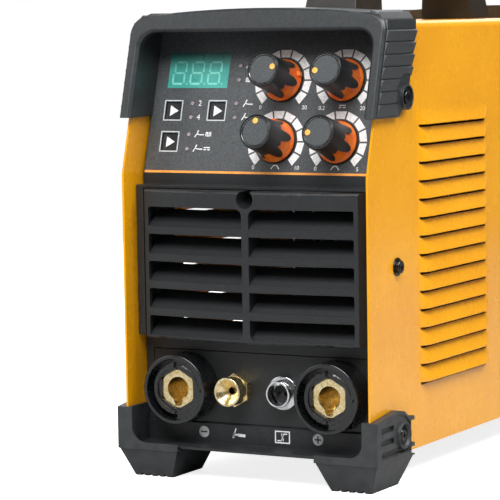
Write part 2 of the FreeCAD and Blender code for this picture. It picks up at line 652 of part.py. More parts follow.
# ---------------------------------------------------------------- front moulding
def front_panel():
    half = INNER_HALF_W - 2 * FIT
    y = PANEL_Y
    base = CASE_BOTTOM + FIT
    low = box(-half, half, y, y + PLATE_T, base, PANEL_Z - 0.8)
    lip, face = FRONT + SILL_FRONT, FRONT + SILL_FACE
    sill = prism_x([(lip, base), (lip, SILL_LIP_TOP), (face, SILL_LIP_TOP), (face, SILL_TOP),
                    (y + 1, SILL_TOP), (y + 1, base)], -SILL_HALF_W, SILL_HALF_W)
    frame = box(-half, half, FRONT + FRAME_BACK, y + PLATE_T, FRAME_BOTTOM, FRAME_TOP)
    upper = on_panel(box(-half, half, 0.0, PANEL_V, -OVERLAY_T - PLATE_T, -OVERLAY_T))
    heel = prism_x([(y, PANEL_Z - 1.5), (y, PANEL_Z - 0.2), (y + OVERLAY_T, PANEL_Z - 0.2),
                    (y + PLATE_T / 2, PANEL_Z + 0.4), (y + PLATE_T + 2, PANEL_Z + 0.4),
                    (y + PLATE_T + 2, PANEL_Z - 1.5)], -half, half)
    body = join([low, sill, frame, upper, heel] + side_cheeks(half))
    nest = box(-GRILLE_HALF_W - FIT, GRILLE_HALF_W + FIT, FRONT, y, GRILLE_BOTTOM - FIT, GRILLE_TOP + FIT)
    airway = box(-60, 60, FRONT, y + 10, GRILLE_BOTTOM + 4, SLOT_TOP)
    seat_half = INSERT_HALF_W + FIT
    seat = box(-seat_half, seat_half, y - 1, y + INSERT_IN, INSERT_BOTTOM - FIT, INSERT_TOP + FIT)
    inset = INSERT_STEP - FIT
    port = box(-INSERT_HALF_W + inset, INSERT_HALF_W - inset, y - 1, y + 10,
               INSERT_BOTTOM + inset, INSERT_TOP - inset)
    body = body.cut(nest).cut(airway).cut(seat).cut(port)
    body = body.fuse(rod(5.0, (0, y, GRILLE_SCREW_Z), (0, y + 12, GRILLE_SCREW_Z)))
    body = body.cut(rod(PILOT_R, (0, y - 1, GRILLE_SCREW_Z), (0, y + 11, GRILLE_SCREW_Z)))
    x0, x1, v0, v1 = WINDOW
    cuts = panel_holes() + [box(x0 + 1.0, x1 - 1.0, v0 + 1.0, v1 - 1.0, -9, 1)]
    posts = [rod(3.0, (x, v, -BOARD_BACK), (x, v, -OVERLAY_T - 0.5)) for x, v in board_posts()]
    body = body.fuse(on_panel(Part.makeCompound(posts)))
    return body.cut(on_panel(Part.makeCompound(cuts))).removeSplitter()


def side_cheeks(half):
    """Webs along the inside of the cover that take the front side screws."""
    webs = []
    y = FRONT + SIDE_SCREW_BACK
    for side in (-1, 1):
        outer, inner = side * half, side * (half - PLATE_T)
        web = box(min(outer, inner), max(outer, inner), PANEL_Y, PANEL_Y + 30, 90.0, 150.0)
        boss = rod(5.0, (outer, y, SIDE_SCREW_Z), (side * (half - 9), y, SIDE_SCREW_Z))
        pilot = rod(PILOT_R, (side * (half + 1), y, SIDE_SCREW_Z), (side * (half - 8), y, SIDE_SCREW_Z))
        webs.append(web.fuse(boss).cut(pilot))
    return webs


def panel_holes():
    """Holes through the plate and its overlay, in panel coordinates."""
    holes = [rod(BUSH_R + 0.15, (x, v, -9), (x, v, 1)) for x, v in KNOBS]
    holes += [rod(LED_R + 0.15, (x, v, -9), (x, v, 1)) for x, v in LEDS]
    return holes + [button_window(x, v, -9, 1) for x, v in BUTTONS]


def board_posts():
    return [(-69.0, 6.0), (69.0, 6.0), (-69.0, 76.0), (69.0, 76.0)]


def button_window(x, v, h0, h1):
    half = BUTTON_W / 2 + BUTTON_GAP
    return box(x - half, x + half, v - half, v + half, h0, h1)


def panel_overlay():
    sheet = box(-PANEL_HALF_W + 0.2, PANEL_HALF_W - 0.2, 0.0, PANEL_V, -OVERLAY_T, 0.0)
    x0, x1, v0, v1 = WINDOW
    cuts = panel_holes() + [box(x0, x1, v0, v1, -1, 1)]
    return on_panel(sheet.cut(Part.makeCompound(cuts)))


def display_window():
    x0, x1, v0, v1 = WINDOW
    return on_panel(box(x0 + TOL, x1 - TOL, v0 + TOL, v1 - TOL, -OVERLAY_T, 0.0))


def display_module():
    x0, x1, v0, v1 = WINDOW
    return on_panel(box(x0 + 1.5, x1 - 1.5, v0 + 1.5, v1 - 1.5, -BOARD_BACK, -OVERLAY_T - TOL))


def indicator_leds():
    lamps = []
    for x, v in LEDS:
        dome = rod(LED_R, (x, v, -BOARD_BACK), (x, v, 0.0))
        cap = Part.makeSphere(LED_R, V(x, v, 0.0)).common(box(x - 2, x + 2, v - 2, v + 2, -0.5, 0.5))
        lamps.append(dome.fuse(cap))
    return on_panel(Part.makeCompound([s for lamp in lamps for s in lamp.Solids]))


def control_board():
    board = box(-72, 72, 2.0, 80.0, -BOARD_BACK - BOARD_T, -BOARD_BACK)
    switch_top = -OVERLAY_T - PLATE_T - 4.1 - BUTTON_TRAVEL
    switches = [box(x - 3, x + 3, v - 3, v + 3, -BOARD_BACK - 0.5, switch_top - 0.1) for x, v in BUTTONS]
    chips = [box(-10, 10, 66, 78, -BOARD_BACK - BOARD_T - 3, -BOARD_BACK - BOARD_T + 0.5),
             box(20, 44, 60, 76, -BOARD_BACK - BOARD_T - 9, -BOARD_BACK - BOARD_T + 0.5),
             box(-60, -30, 6, 14, -BOARD_BACK - BOARD_T - 8, -BOARD_BACK - BOARD_T + 0.5)]
    board = join([board] + switches + chips)
    return on_panel(board)


def mode_button(index):
    x, v = BUTTONS[index]
    half = BUTTON_W / 2
    cap = box(x - half, x + half, v - half, v + half, -OVERLAY_T - PLATE_T - 1.0, -BUTTON_IN)
    cap = cap.makeChamfer(0.5, [e for e in cap.Edges if e.CenterOfMass.z > -BUTTON_IN - 0.01])
    flange_top = -OVERLAY_T - PLATE_T - 0.15
    flange = box(x - half - 1, x + half + 1, v - half - 1, v + half + 1, flange_top - 1.0, flange_top)
    stem = rod(2.0, (x, v, flange_top - 3.95), (x, v, flange_top - 0.5))
    return on_panel(join([cap, flange, stem]))


# ---------------------------------------------------------------- knobs
def knob_lobes(grow):
    """Six finger lobes that run down over the skirt, in knob coordinates."""
    low, high = KNOB_LIFT + 1.2 - grow, KNOB_SKIRT_H + 2.0
    shell = cone(KNOB_SKIRT_R - 0.3 + grow, KNOB_R + 0.1 + grow, (0, 0, low), (0, 0, high))
    fins = []
    half = KNOB_LOBE_W / 2 + grow
    for i in range(KNOB_LOBES):
        fin = prism_z([(KNOB_R - 2, -half), (KNOB_SKIRT_R - 2.2, -half), (KNOB_SKIRT_R + 0.4, 0),
                       (KNOB_SKIRT_R - 2.2, half), (KNOB_R - 2, half)], low, high)
        fin.rotate(V(0, 0, 0), V(0, 0, 1), i * 360 / KNOB_LOBES + 30)
        fins.append(fin)
    return shell.common(Part.makeCompound(fins))


def knob_place(shape, index):
    placed = shape.copy()
    placed.rotate(V(0, 0, 0), V(0, 0, 1), KNOB_POINTS[index])
    x, v = KNOBS[index]
    placed.translate(V(x, v, 0))
    return on_panel(placed)


def knob_body(index):
    body = cone(KNOB_R, KNOB_R - 0.2, (0, 0, KNOB_LIFT + 1.2), (0, 0, KNOB_H))
    body = rounded(body, 0.6, lambda e: e.CenterOfMass.z > KNOB_H - 0.01 and e.Length > 20)
    body = body.cut(rod(KNOB_R - 1.6, (0, 0, KNOB_H - 0.5), (0, 0, KNOB_H + 1)))
    body = join([body] + knob_lobes(0.0).Solids)
    cavity = rod(BUSH_R + 3.2, (0, 0, -1), (0, 0, BUSH_OUT + 1.5))
    bore = rod(SHAFT_R + 0.02, (0, 0, -1), (0, 0, KNOB_H - 4))
    dot = rod(KNOB_DOT_R + 0.02, (KNOB_DOT_AT, 0, KNOB_H - 1.5), (KNOB_DOT_AT, 0, KNOB_H + 1))
    return knob_place(body.cut(cavity).cut(bore).cut(dot), index)


def knob_skirt(index):
    skirt = cone(KNOB_SKIRT_R, KNOB_R + 0.3, (0, 0, KNOB_LIFT), (0, 0, KNOB_SKIRT_H))
    rim = rod(KNOB_SKIRT_R + 0.3, (0, 0, KNOB_LIFT), (0, 0, KNOB_LIFT + 0.8))
    pointer = box(KNOB_SKIRT_R - 2.0, KNOB_SKIRT_R + 0.9, -1.3, 1.3, KNOB_LIFT, KNOB_LIFT + 3.2)
    skirt = join([skirt, rim, pointer]).cut(rod(KNOB_R + 0.02, (0, 0, -1), (0, 0, KNOB_H)))
    skirt = skirt.cut(knob_lobes(TOL))
    dot = rod(KNOB_DOT_R, (KNOB_DOT_AT, 0, KNOB_H - 1.5), (KNOB_DOT_AT, 0, KNOB_H - 0.25))
    return knob_place(Part.makeCompound([skirt.removeSplitter(), dot]), index)


def pot_shaft(index):
    return knob_place(rod(SHAFT_R, (0, 0, -BOARD_BACK + 4), (0, 0, KNOB_H - 5)), index)


def potentiometers():
    solids = []
    for x, v in KNOBS:
        can = rod(POT_R, (x, v, -BOARD_BACK), (x, v, -OVERLAY_T - PLATE_T - 0.1))
        bush = rod(BUSH_R, (x, v, -5), (x, v, BUSH_OUT))
        bore = rod(SHAFT_R + SHAFT_GAP, (x, v, -BOARD_BACK + 3.8), (x, v, 9))
        solids.append(can.fuse(bush).cut(bore))
        nut = rod(BUSH_R + 2.4, (x, v, 0.1), (x, v, 2.0))
        solids.append(nut.cut(rod(BUSH_R + 0.02, (x, v, -1), (x, v, 5))))
    return on_panel(Part.makeCompound(solids))


# ---------------------------------------------------------------- air grille
def grille_plan(inset, back):
    """Plan of the grille as a face at Z = 0, bulged at the front."""
    half, face = GRILLE_HALF_W - inset, GRILLE_FACE_HALF - inset
    edge = FRONT + GRILLE_EDGE_BACK + inset
    mid = edge - GRILLE_BULGE
    shoulder = FRONT + FRAME_BACK + 0.5 + inset
    front = Part.Arc(V(-face, edge, 0), V(0, mid, 0), V(face, edge, 0)).toShape()
    rest = [V(face, edge, 0), V(half, shoulder, 0), V(half, back, 0), V(-half, back, 0),
            V(-half, shoulder, 0), V(-face, edge, 0)]
    lines = [Part.makeLine(a, b) for a, b in zip(rest, rest[1:])]
    return Part.Face(Part.Wire([front] + lines))


def grille_slots():
    """Openings of the grille, two in each row beside the mullion."""
    neck = GRILLE_MULLION / 2
    slots = []
    for row in range(SLOT_ROWS):
        top = SLOT_TOP - row * SLOT_PITCH
        round_z = {0: top, SLOT_ROWS - 1: top - SLOT_H}.get(row)
        slot = box(neck, SLOT_HALF_W, FRONT - 5, FRONT + 14, top - SLOT_H, top)
        if round_z is not None:
            slot = rounded(slot, SLOT_MIDDLE_R, lambda e: along(e, (0, 1, 0))
                           and e.CenterOfMass.x < neck + TOL and abs(e.CenterOfMass.z - round_z) < TOL)
        slot = rounded(slot, SLOT_CORNER_R, lambda e: along(e, (0, 1, 0))
                       and e.CenterOfMass.x > SLOT_HALF_W - TOL)
        slots += [slot, mirrored_x(slot)]
    return slots


def grille_blade(low):
    """Sloping blade that follows the grille's bulge from one side to the other."""
    face = FRONT + GRILLE_EDGE_BACK - GRILLE_BULGE
    radius = (GRILLE_FACE_HALF ** 2 + GRILLE_BULGE ** 2) / (2 * GRILLE_BULGE)
    y0, y1 = face + 1.0, face + 1.0 + 1.3 * BLADE_RUN
    section = polygon([(0, y0, low - BLADE_T), (0, y0, low), (0, y1, low + BLADE_RUN),
                       (0, y1, low + BLADE_RUN - 1.4 * BLADE_T), (0, y0 + 2.0, low - BLADE_T)])
    half_turn = math.degrees(math.asin((GRILLE_FACE_HALF - 1) / radius))
    centre, upright = V(0, face + radius, 0), V(0, 0, 1)
    section.rotate(centre, upright, -half_turn)
    return section.revolve(centre, upright, 2 * half_turn)


def front_grille():
    back = PANEL_Y - TOL
    outer = grille_plan(0.0, back)
    outer.translate(V(0, 0, GRILLE_BOTTOM))
    outer = outer.extrude(V(0, 0, GRILLE_TOP - GRILLE_BOTTOM))
    outer = rounded(outer, 1.6, lambda e: e.CenterOfMass.y < FRONT + 7 and not along(e, (0, 0, 1)))
    inner = grille_plan(GRILLE_WALL, back + 5)
    inner.translate(V(0, 0, GRILLE_BOTTOM + GRILLE_WALL))
    inner = inner.extrude(V(0, 0, GRILLE_TOP - GRILLE_BOTTOM - 2 * GRILLE_WALL))
    body = outer.cut(inner).cut(Part.makeCompound(grille_slots()))
    keep = grille_plan(0.6, back)
    keep.translate(V(0, 0, GRILLE_BOTTOM))
    keep = keep.extrude(V(0, 0, GRILLE_TOP - GRILLE_BOTTOM))
    blades = [grille_blade(SLOT_TOP - row * SLOT_PITCH - SLOT_H) for row in range(SLOT_ROWS)]
    neck = GRILLE_MULLION / 2
    edge = FRONT + GRILLE_EDGE_BACK
    rib = box(-neck, neck, edge - 3, edge + BLADE_RUN, GRILLE_BOTTOM + 1, GRILLE_TOP - 1)
    body = join([body] + [piece.common(keep) for piece in blades + [rib]])
    y_face = edge - GRILLE_BULGE
    z = GRILLE_SCREW_Z
    tube = rod(GRILLE_HOLE_R + 1.4, (0, y_face + 0.3, z), (0, back, z))
    roof = box(-20, 20, y_face - 5, back + 5, GRILLE_TOP - 0.2, GRILLE_TOP + 20)
    well = rod(GRILLE_HOLE_R, (0, y_face - 3, z), (0, back - 3, z))
    hole = rod(SCREW_R + 0.2, (0, y_face, z), (0, back + 1, z))
    body = body.fuse(tube.cut(roof)).cut(well).cut(hole)
    return body.removeSplitter()


# ---------------------------------------------------------------- connectors
def connector_plate():
    y = PANEL_Y
    plate = box(-INSERT_HALF_W, INSERT_HALF_W, y, y + INSERT_IN - TOL, INSERT_BOTTOM, INSERT_TOP)
    back = box(-INSERT_HALF_W + INSERT_STEP, INSERT_HALF_W - INSERT_STEP, y + 0.5, y + INSERT_T,
               INSERT_BOTTOM + INSERT_STEP, INSERT_TOP - INSERT_STEP)
    plate = plate.fuse(back)
    holes = [rod(SOCKET_NECK_R + TOL, (x, y - 1, CONNECTOR_Z), (x, y + 9, CONNECTOR_Z))
             for x in (-SOCKET_X, SOCKET_X)]
    holes.append(rod(5.0 + TOL, (GAS_X, y - 1, CONNECTOR_Z), (GAS_X, y + 9, CONNECTOR_Z)))
    holes.append(rod(CONTROL_R - 0.4 + TOL, (CONTROL_X, y - 1, CONNECTOR_Z), (CONTROL_X, y + 9, CONNECTOR_Z)))
    return plate.cut(Part.makeCompound(holes)).removeSplitter()


def socket_housing(x):
    z = CONNECTOR_Z
    front = FRONT + SOCKET_FRONT
    y = PANEL_Y - TOL
    body = rod(SOCKET_R, (x, front, z), (x, y, z))
    body = rounded(body, 0.8, lambda e: e.CenterOfMass.y < front + 0.01)
    body = body.cut(rod(SOCKET_R - SOCKET_RIM, (x, front - 1, z), (x, front + 9, z)))
    core_y = front + 2.4
    core = rod(SOCKET_CORE_R, (x, core_y, z), (x, front + 10, z))
    core = rounded(core, 0.5, lambda e: e.CenterOfMass.y < core_y + 0.01)
    step = rod(SOCKET_R - SOCKET_RIM + TOL, (x, core_y + 0.2, z), (x, front + 10, z))
    step = step.cut(box(x - SOCKET_R, x, front, y, z - SOCKET_R, z + SOCKET_R))
    neck = rod(SOCKET_NECK_R, (x, y - 1, z), (x, y + 12, z))
    body = join([body, core, step, neck])
    marks = [box(x - 0.8, x + 0.8, core_y - 1, core_y + 1.2, z + low, z + low + 4.0) for low in (12.0, -16.0)]
    marks.append(rod(0.8, (x + 16.0, core_y - 1, z), (x + 16.0, core_y + 1.5, z)))
    body = body.cut(Part.makeCompound(marks))
    pocket = hexagon_y(SOCKET_HEX + 2 * TOL, x, z, front - 1, front + SOCKET_HEX_BACK + 9)
    mouth = rod(SOCKET_HEX / math.sqrt(3) + 0.4, (x, front - 1, z), (x, front + SOCKET_HEX_BACK - 1.2, z))
    through = rod(9.0 + TOL, (x, front, z), (x, y + 20, z))
    return body.cut(pocket).cut(mouth).cut(through).removeSplitter()


def socket_insert(x):
    z = CONNECTOR_Z
    face = FRONT + SOCKET_FRONT + SOCKET_HEX_BACK
    bar = hexagon_y(SOCKET_HEX, x, z, face, face + 9 - TOL)
    limit = cone(SOCKET_HEX / 2 + 0.6, SOCKET_HEX / 2 + 3.6, (x, face, z), (x, face + 3.0, z))
    bar = bar.common(limit.fuse(rod(SOCKET_HEX, (x, face + 3.0, z), (x, face + 12, z))))
    barrel = rod(9.0, (x, face + 8, z), (x, face + SOCKET_BORE_LEN + 5, z))
    stud = rod(5.0, (x, face + SOCKET_BORE_LEN + 4, z), (x, face + SOCKET_BORE_LEN + 18, z))
    body = join([bar, barrel, stud])
    bore = rod(SOCKET_BORE_R, (x, face - 1, z), (x, face + SOCKET_BORE_LEN, z))
    key = rod(SOCKET_KEY_W / 2, (x, face - 1, z - SOCKET_BORE_R), (x, face + 12, z - SOCKET_BORE_R))
    return body.cut(bore).cut(key)


def socket_nuts():
    y = PANEL_Y + INSERT_T
    nuts = []
    for x in (-SOCKET_X, SOCKET_X):
        nut = hexagon_y(29.0, x, CONNECTOR_Z, y + TOL, y + 5)
        nuts.append(nut.cut(rod(SOCKET_NECK_R + TOL, (x, y - 1, CONNECTOR_Z), (x, y + 9, CONNECTOR_Z))))
    return Part.makeCompound(nuts)


def gas_outlet():
    z = CONNECTOR_Z
    front, y = FRONT + GAS_FRONT, PANEL_Y
    spout = rod(GAS_R, (GAS_X, front, z), (GAS_X, front + GAS_SPOUT, z))
    spout = rounded(spout, 0.5, lambda e: e.CenterOfMass.y < front + 0.01)
    nut = hexagon_y(GAS_HEX, GAS_X, z, front + GAS_SPOUT - 0.4, y - TOL)
    tail = rod(5.0, (GAS_X, y - 1, z), (GAS_X, y + 16, z))
    barb = rod(HOSE_BORE_R - HOSE_FIT, (GAS_X, y + 15, z), (GAS_X, y + 30, z))
    body = join([spout, nut, tail, barb])
    seat = cone(GAS_R - 1.2, GAS_BORE_R, (GAS_X, front - 0.01, z), (GAS_X, front + GAS_DISH, z))
    return body.cut(seat).cut(rod(GAS_BORE_R, (GAS_X, front, z), (GAS_X, y + 31, z)))


def control_socket_shell():
    z, x = CONNECTOR_Z, CONTROL_X
    front, y = FRONT + CONTROL_FRONT, PANEL_Y
    barrel = rod(CONTROL_R, (x, front, z), (x, front + 8, z))
    barrel = rounded(barrel, 0.5, lambda e: e.CenterOfMass.y < front + 0.01)
    flange = rod(CONTROL_FLANGE_R, (x, front + 5.5, z), (x, y - TOL, z))
    flange = rounded(flange, 0.8, lambda e: e.CenterOfMass.y < front + 5.51)
    tail = rod(CONTROL_R - 0.4, (x, y - 1, z), (x, y + 14, z))
    nut = hexagon_y(18.0, x, z, y + INSERT_T + TOL, y + INSERT_T + 3)
    body = join([barrel, flange, tail, nut])
    body = body.cut(rod(CONTROL_R - 1.1, (x, front - 1, z), (x, front + 7.5, z)))
    body = body.cut(rod(5.6, (x, front, z), (x, y + 20, z)))
    key = box(x - 0.9, x + 0.9, front + 0.4, front + 5.9, z + CONTROL_R - 2.3, z + CONTROL_R - 0.9)
    return body.fuse(key).removeSplitter()


def control_socket_core():
    z, x = CONNECTOR_Z, CONTROL_X
    front, y = FRONT + CONTROL_FRONT, PANEL_Y
    disc = rod(5.6 - TOL, (x, front + 6.0, z), (x, y + 12, z))
    pins = [rod(CONTROL_PIN_R, (x + dx, front + 1.5, z), (x + dx, y + 17, z)) for dx in (-2.4, 2.4)]
    return Part.makeCompound([disc.cut(Part.makeCompound(pins))] + pins)


# ---------------------------------------------------------------- inside
def divider_plate():
    y0, y1 = FRONT + 70, -FRONT - 85
    right = DIVIDER_X + DIVIDER_T
    wall = box(DIVIDER_X, right, y0, y1, FLOOR_Z + TOL, 205)
    foot = box(DIVIDER_X - 14, right, y0, y1, FLOOR_Z + TOL, FLOOR_Z + TOL + DIVIDER_T)
    studs = [rod(3.0, (DIVIDER_X + DIVIDER_T - 0.4, y, z), (BOARD_X, y, z))
             for y in (y0 + 15, y1 - 15) for z in (50, 190)]
    return join([wall, foot] + studs)


def power_board():
    return box(BOARD_X + TOL, BOARD_X + TOL + BOARD_T, FRONT + 75, -FRONT - 90, 38, 202)


def heatsinks():
    x0 = BOARD_X + 2 * TOL + BOARD_T
    y0, y1 = FRONT + 130, -FRONT - 100
    sinks = []
    for low in (44, 126):
        block = box(x0, x0 + SINK_W, y0, y1, low, low + SINK_H)
        gaps = []
        for i in range(SINK_GAPS):
            z = low + SINK_FIN_T + i * (SINK_FIN_T + SINK_GAP)
            gaps.append(box(x0 + 8, x0 + SINK_W + 2, y0 - 1, y1 + 1, z, z + SINK_GAP))
        sinks.append(block.cut(Part.makeCompound(gaps)))
    return Part.makeCompound(sinks)


def bus_capacitors():
    x0, y = BOARD_X + 2 * TOL + BOARD_T, FRONT + 100
    return Part.makeCompound([rod(CAPACITOR_R, (x0, y, z), (x0 + CAPACITOR_LEN, y, z))
                              for z in (60, 96, 132, 168)])


def transformer():
    x0, x1 = -70.0, -22.0
    z0 = FLOOR_Z + TOL
    core = box(x0, x1, 25, 85, z0, z0 + 60)
    core = core.cut(box(x0 + 10, x1 - 10, 0, 100, z0 + 12, z0 + 48))
    winding = box(x0 + 10.2, x1 - 10.2, 16, 94, z0 + 12.2, z0 + 47.8)
    winding = rounded(winding, 5.0, lambda e: along(e, (0, 0, 1)))
    return Part.makeCompound([core, winding])


def output_choke():
    z0 = FLOOR_Z + TOL
    ring = rod(CHOKE_R, (CHOKE_X, CHOKE_Y, z0), (CHOKE_X, CHOKE_Y, z0 + 34))
    ring = ring.cut(rod(11, (CHOKE_X, CHOKE_Y, z0 - 1), (CHOKE_X, CHOKE_Y, z0 + 40)))
    return rounded(ring, 6.0, lambda e: e.CenterOfMass.z > z0 + 33)


def output_busbars():
    y0 = FRONT + SOCKET_FRONT + SOCKET_HEX_BACK + SOCKET_BORE_LEN + 5 + TOL
    bars = []
    for x, y1, rise in ((-SOCKET_X, CHOKE_Y - CHOKE_R, -7.5), (SOCKET_X, FRONT + 130, 26.5)):
        z = CONNECTOR_Z
        strap = box(x - 9, x + 9, y0, y0 + 3, z + min(rise, -9), z + max(rise + 3, 9))
        lead = box(x - 9, x + 9, y0, y1 - TOL, z + rise, z + rise + 3)
        bars.append(strap.fuse(lead).cut(rod(5.0 + TOL, (x, y0 - 1, z), (x, y0 + 30, z))))
    return Part.makeCompound(bars)


def gas_valve():
    rear = REAR_FACE
    x, z = VALVE_X, VALVE_Z
    block = box(x - 11, x + 11, rear - 44, rear - 16, z - 11, z + 11)
    coil = rod(VALVE_COIL_R, (x - 10.8, rear - 30, z), (x - 11 - VALVE_COIL_LEN, rear - 30, z))
    inlet = rod(5.5, (x, rear - 16.2, z), (x, rear + TOL, z))
    shoulder = hexagon_y(15.0, x, z, REAR_BACK - 5, REAR_BACK - TOL)
    nut = hexagon_y(15.0, x, z, rear + TOL, rear + 5)
    barb = rod(BARB_R, (x, rear + 1, z), (x, rear + 18, z))
    outlet = rod(HOSE_BORE_R - HOSE_FIT, (x, rear - 56, z), (x, rear - 43, z))
    body = join([block, coil, inlet, shoulder, nut, barb, outlet])
    body = body.cut(rod(1.6, (x, rear - 57, z), (x, rear + 20, z)))
    return body.cut(rod(PLUNGER_R + SHAFT_GAP, (x - 4, rear - 30, z), (x - 3 - VALVE_COIL_LEN, rear - 30, z)))


def valve_plunger():
    seat = VALVE_X - 4 - TOL
    far = VALVE_X - 3 - VALVE_COIL_LEN + PLUNGER_TRAVEL + 0.5
    return rod(PLUNGER_R, (seat, REAR_FACE - 30, VALVE_Z), (far, REAR_FACE - 30, VALVE_Z))


def hose_path():
    """Gas hose from the valve to the outlet, along the floor beside the divider."""
    start = V(VALVE_X, REAR_FACE - 45, VALVE_Z)
    end = V(GAS_X, PANEL_Y + 17, CONNECTOR_Z)
    way = ((0.1443, VALVE_X, VALVE_Z), (0.3054, -14.6, 26.5), (0.4933, -13.8, 25.5), (0.6812, -14.4, 27.0),
           (0.8289, -14.0, 36.0), (0.9161, GAS_X, CONNECTOR_Z))
    return [start] + [V(x, start.y + share * (end.y - start.y), z) for share, x, z in way] + [end]


def rounded_path(points):
    """(wire through the points with the largest even arcs, list of its radii)."""
    edges, radii, at = [], [], points[0]
    for before, corner, after in zip(points, points[1:], points[2:]):
        back, ahead = before - corner, after - corner
        run = 0.45 * min(back.Length, ahead.Length)
        turn = math.pi - back.getAngle(ahead)
        radius = run / math.tan(turn / 2)
        start = corner + V(back).normalize() * run
        end = corner + V(ahead).normalize() * run
        inward = (V(back).normalize() + V(ahead).normalize()).normalize()
        centre = corner + inward * math.hypot(run, radius)
        middle = centre - inward * radius
        edges.append(Part.makeLine(at, start))
        edges.append(Part.Arc(start, middle, end).toShape())
        radii.append(radius)
        at = end
    edges.append(Part.makeLine(at, points[-1]))
    return Part.Wire(edges), radii


def gas_hose():
    wire, radii = rounded_path(hose_path())
    print("gas hose length", round(wire.Length, 1), "radii", [round(r, 1) for r in radii])
    start = wire.Vertexes[0].Point
    way = wire.Edges[0].tangentAt(wire.Edges[0].FirstParameter)
    outer = Part.Wire(Part.makeCircle(HOSE_R, start, way))
    inner = Part.Wire(Part.makeCircle(HOSE_BORE_R, start, way))
    tube = wire.makePipeShell([outer], True, False).cut(wire.makePipeShell([inner], True, False))
    return tube


# ---------------------------------------------------------------- rear end
def on_rear(shape):
    """Moves a shape made in panel coordinates (x, v, h) onto the leaning rear panel, seen from the rear."""
    return turned(on_panel(shape))


def rear_panel():
    half = INNER_HALF_W - 2 * FIT
    low = box(-half, half, REAR_BACK, REAR_FACE, CASE_BOTTOM + FIT, PANEL_Z + 0.3)
    upper = on_rear(box(-half, half, 0.0, PANEL_V, -REAR_T, 0.0))
    flanges = [box(min(a, b), max(a, b), REAR_FACE - 26, REAR_FACE - 0.5, 60.0, 160.0)
               for a, b in ((-half, -half + REAR_T), (half - REAR_T, half))]
    body = join([low, upper] + flanges)
    cuts = []
    for i in range(VENT_ROWS):
        z = FAN_Z + (i - VENT_ROWS // 2) * VENT_PITCH
        reach = math.sqrt(VENT_R ** 2 - (z - FAN_Z) ** 2)
        cuts.append(box(-reach, reach, REAR_BACK - 5, REAR_FACE + 5, z - VENT_PITCH / 3, z + VENT_PITCH / 3))
    cuts.append(rod(5.6, (VALVE_X, REAR_BACK - 5, VALVE_Z), (VALVE_X, REAR_FACE + 5, VALVE_Z)))
    sy = -FRONT - SIDE_SCREW_BACK
    cuts.append(rod(PILOT_R, (-HALF_W, sy, SIDE_SCREW_Z), (HALF_W, sy, SIDE_SCREW_Z)))
    w, h = SWITCH_W / 2 + 0.1, SWITCH_H / 2 + 0.1
    x = -SWITCH_X
    cuts.append(on_rear(box(x - w, x + w, SWITCH_V - h, SWITCH_V + h, -5, 5)))
    cuts.append(on_rear(rod(GLAND_R + 0.1, (-GLAND_X, GLAND_V, -5), (-GLAND_X, GLAND_V, 5))))
    return body.cut(Part.makeCompound(cuts)).removeSplitter()


def power_switch_body():
    x = -SWITCH_X
    w, h = SWITCH_W / 2, SWITCH_H / 2
    bezel = box(x - w - 2, x + w + 2, SWITCH_V - h - 2, SWITCH_V + h + 2, TOL, 2.4)
    bezel = bezel.makeChamfer(0.8, [e for e in bezel.Edges if e.CenterOfMass.z > 2.39])
    case = box(x - w, x + w, SWITCH_V - h, SWITCH_V + h, -24, 1)
    well = box(x - w + 2, x + w - 2, SWITCH_V - h + 2, SWITCH_V + h - 2, -10, 3)
    axle_holes = rod(1.5 + SHAFT_GAP, (x - w + 0.8, SWITCH_V, -2), (x + w - 0.8, SWITCH_V, -2))
    return on_rear(bezel.fuse(case).cut(well).cut(axle_holes))


def power_switch_rocker():
    x = -SWITCH_X
    w, h = SWITCH_W / 2 - 2.4, SWITCH_H / 2 - 2.8
    v = SWITCH_V
    side = [(x, v - h, 2.2), (x, v, 0.4), (x, v + h, 2.2), (x, v + h - 3.0, -5.5), (x, v - h + 3.0, -5.5)]
    body = polygon(side).extrude(V(w, 0, 0)).fuse(polygon(side).extrude(V(-w, 0, 0))).removeSplitter()
    axle = rod(1.5, (x - w - 1.4, SWITCH_V, -2), (x + w + 1.4, SWITCH_V, -2))
    body = body.fuse(axle)
    body.rotate(V(x, SWITCH_V, -2), V(1, 0, 0), ROCKER_TILT)
    return on_rear(body)


def cable_gland():
    x, v = -GLAND_X, GLAND_V
    seat = hexagon_panel(22.0, x, v, TOL, 6.0)
    cap = cone(10.0, 8.0, (x, v, 6.0), (x, v, GLAND_LEN - 6))
    tail = rod(GLAND_R, (x, v, -8), (x, v, 1))
    lock = hexagon_panel(22.0, x, v, -REAR_T - 4, -REAR_T - TOL)
    body = join([seat, cap, tail, lock])
    body = rounded(body, 1.0, lambda e: e.CenterOfMass.z > GLAND_LEN - 6.1)
    return on_rear(body.cut(rod(GLAND_BORE_R, (x, v, -9), (x, v, GLAND_LEN))))


def hexagon_panel(across_flats, x, v, h0, h1):
    corner = across_flats / math.sqrt(3)
    turns = [math.radians(60 * i) for i in range(6)]
    return prism_z([(x + corner * math.cos(t), v + corner * math.sin(t)) for t in turns], h0, h1)


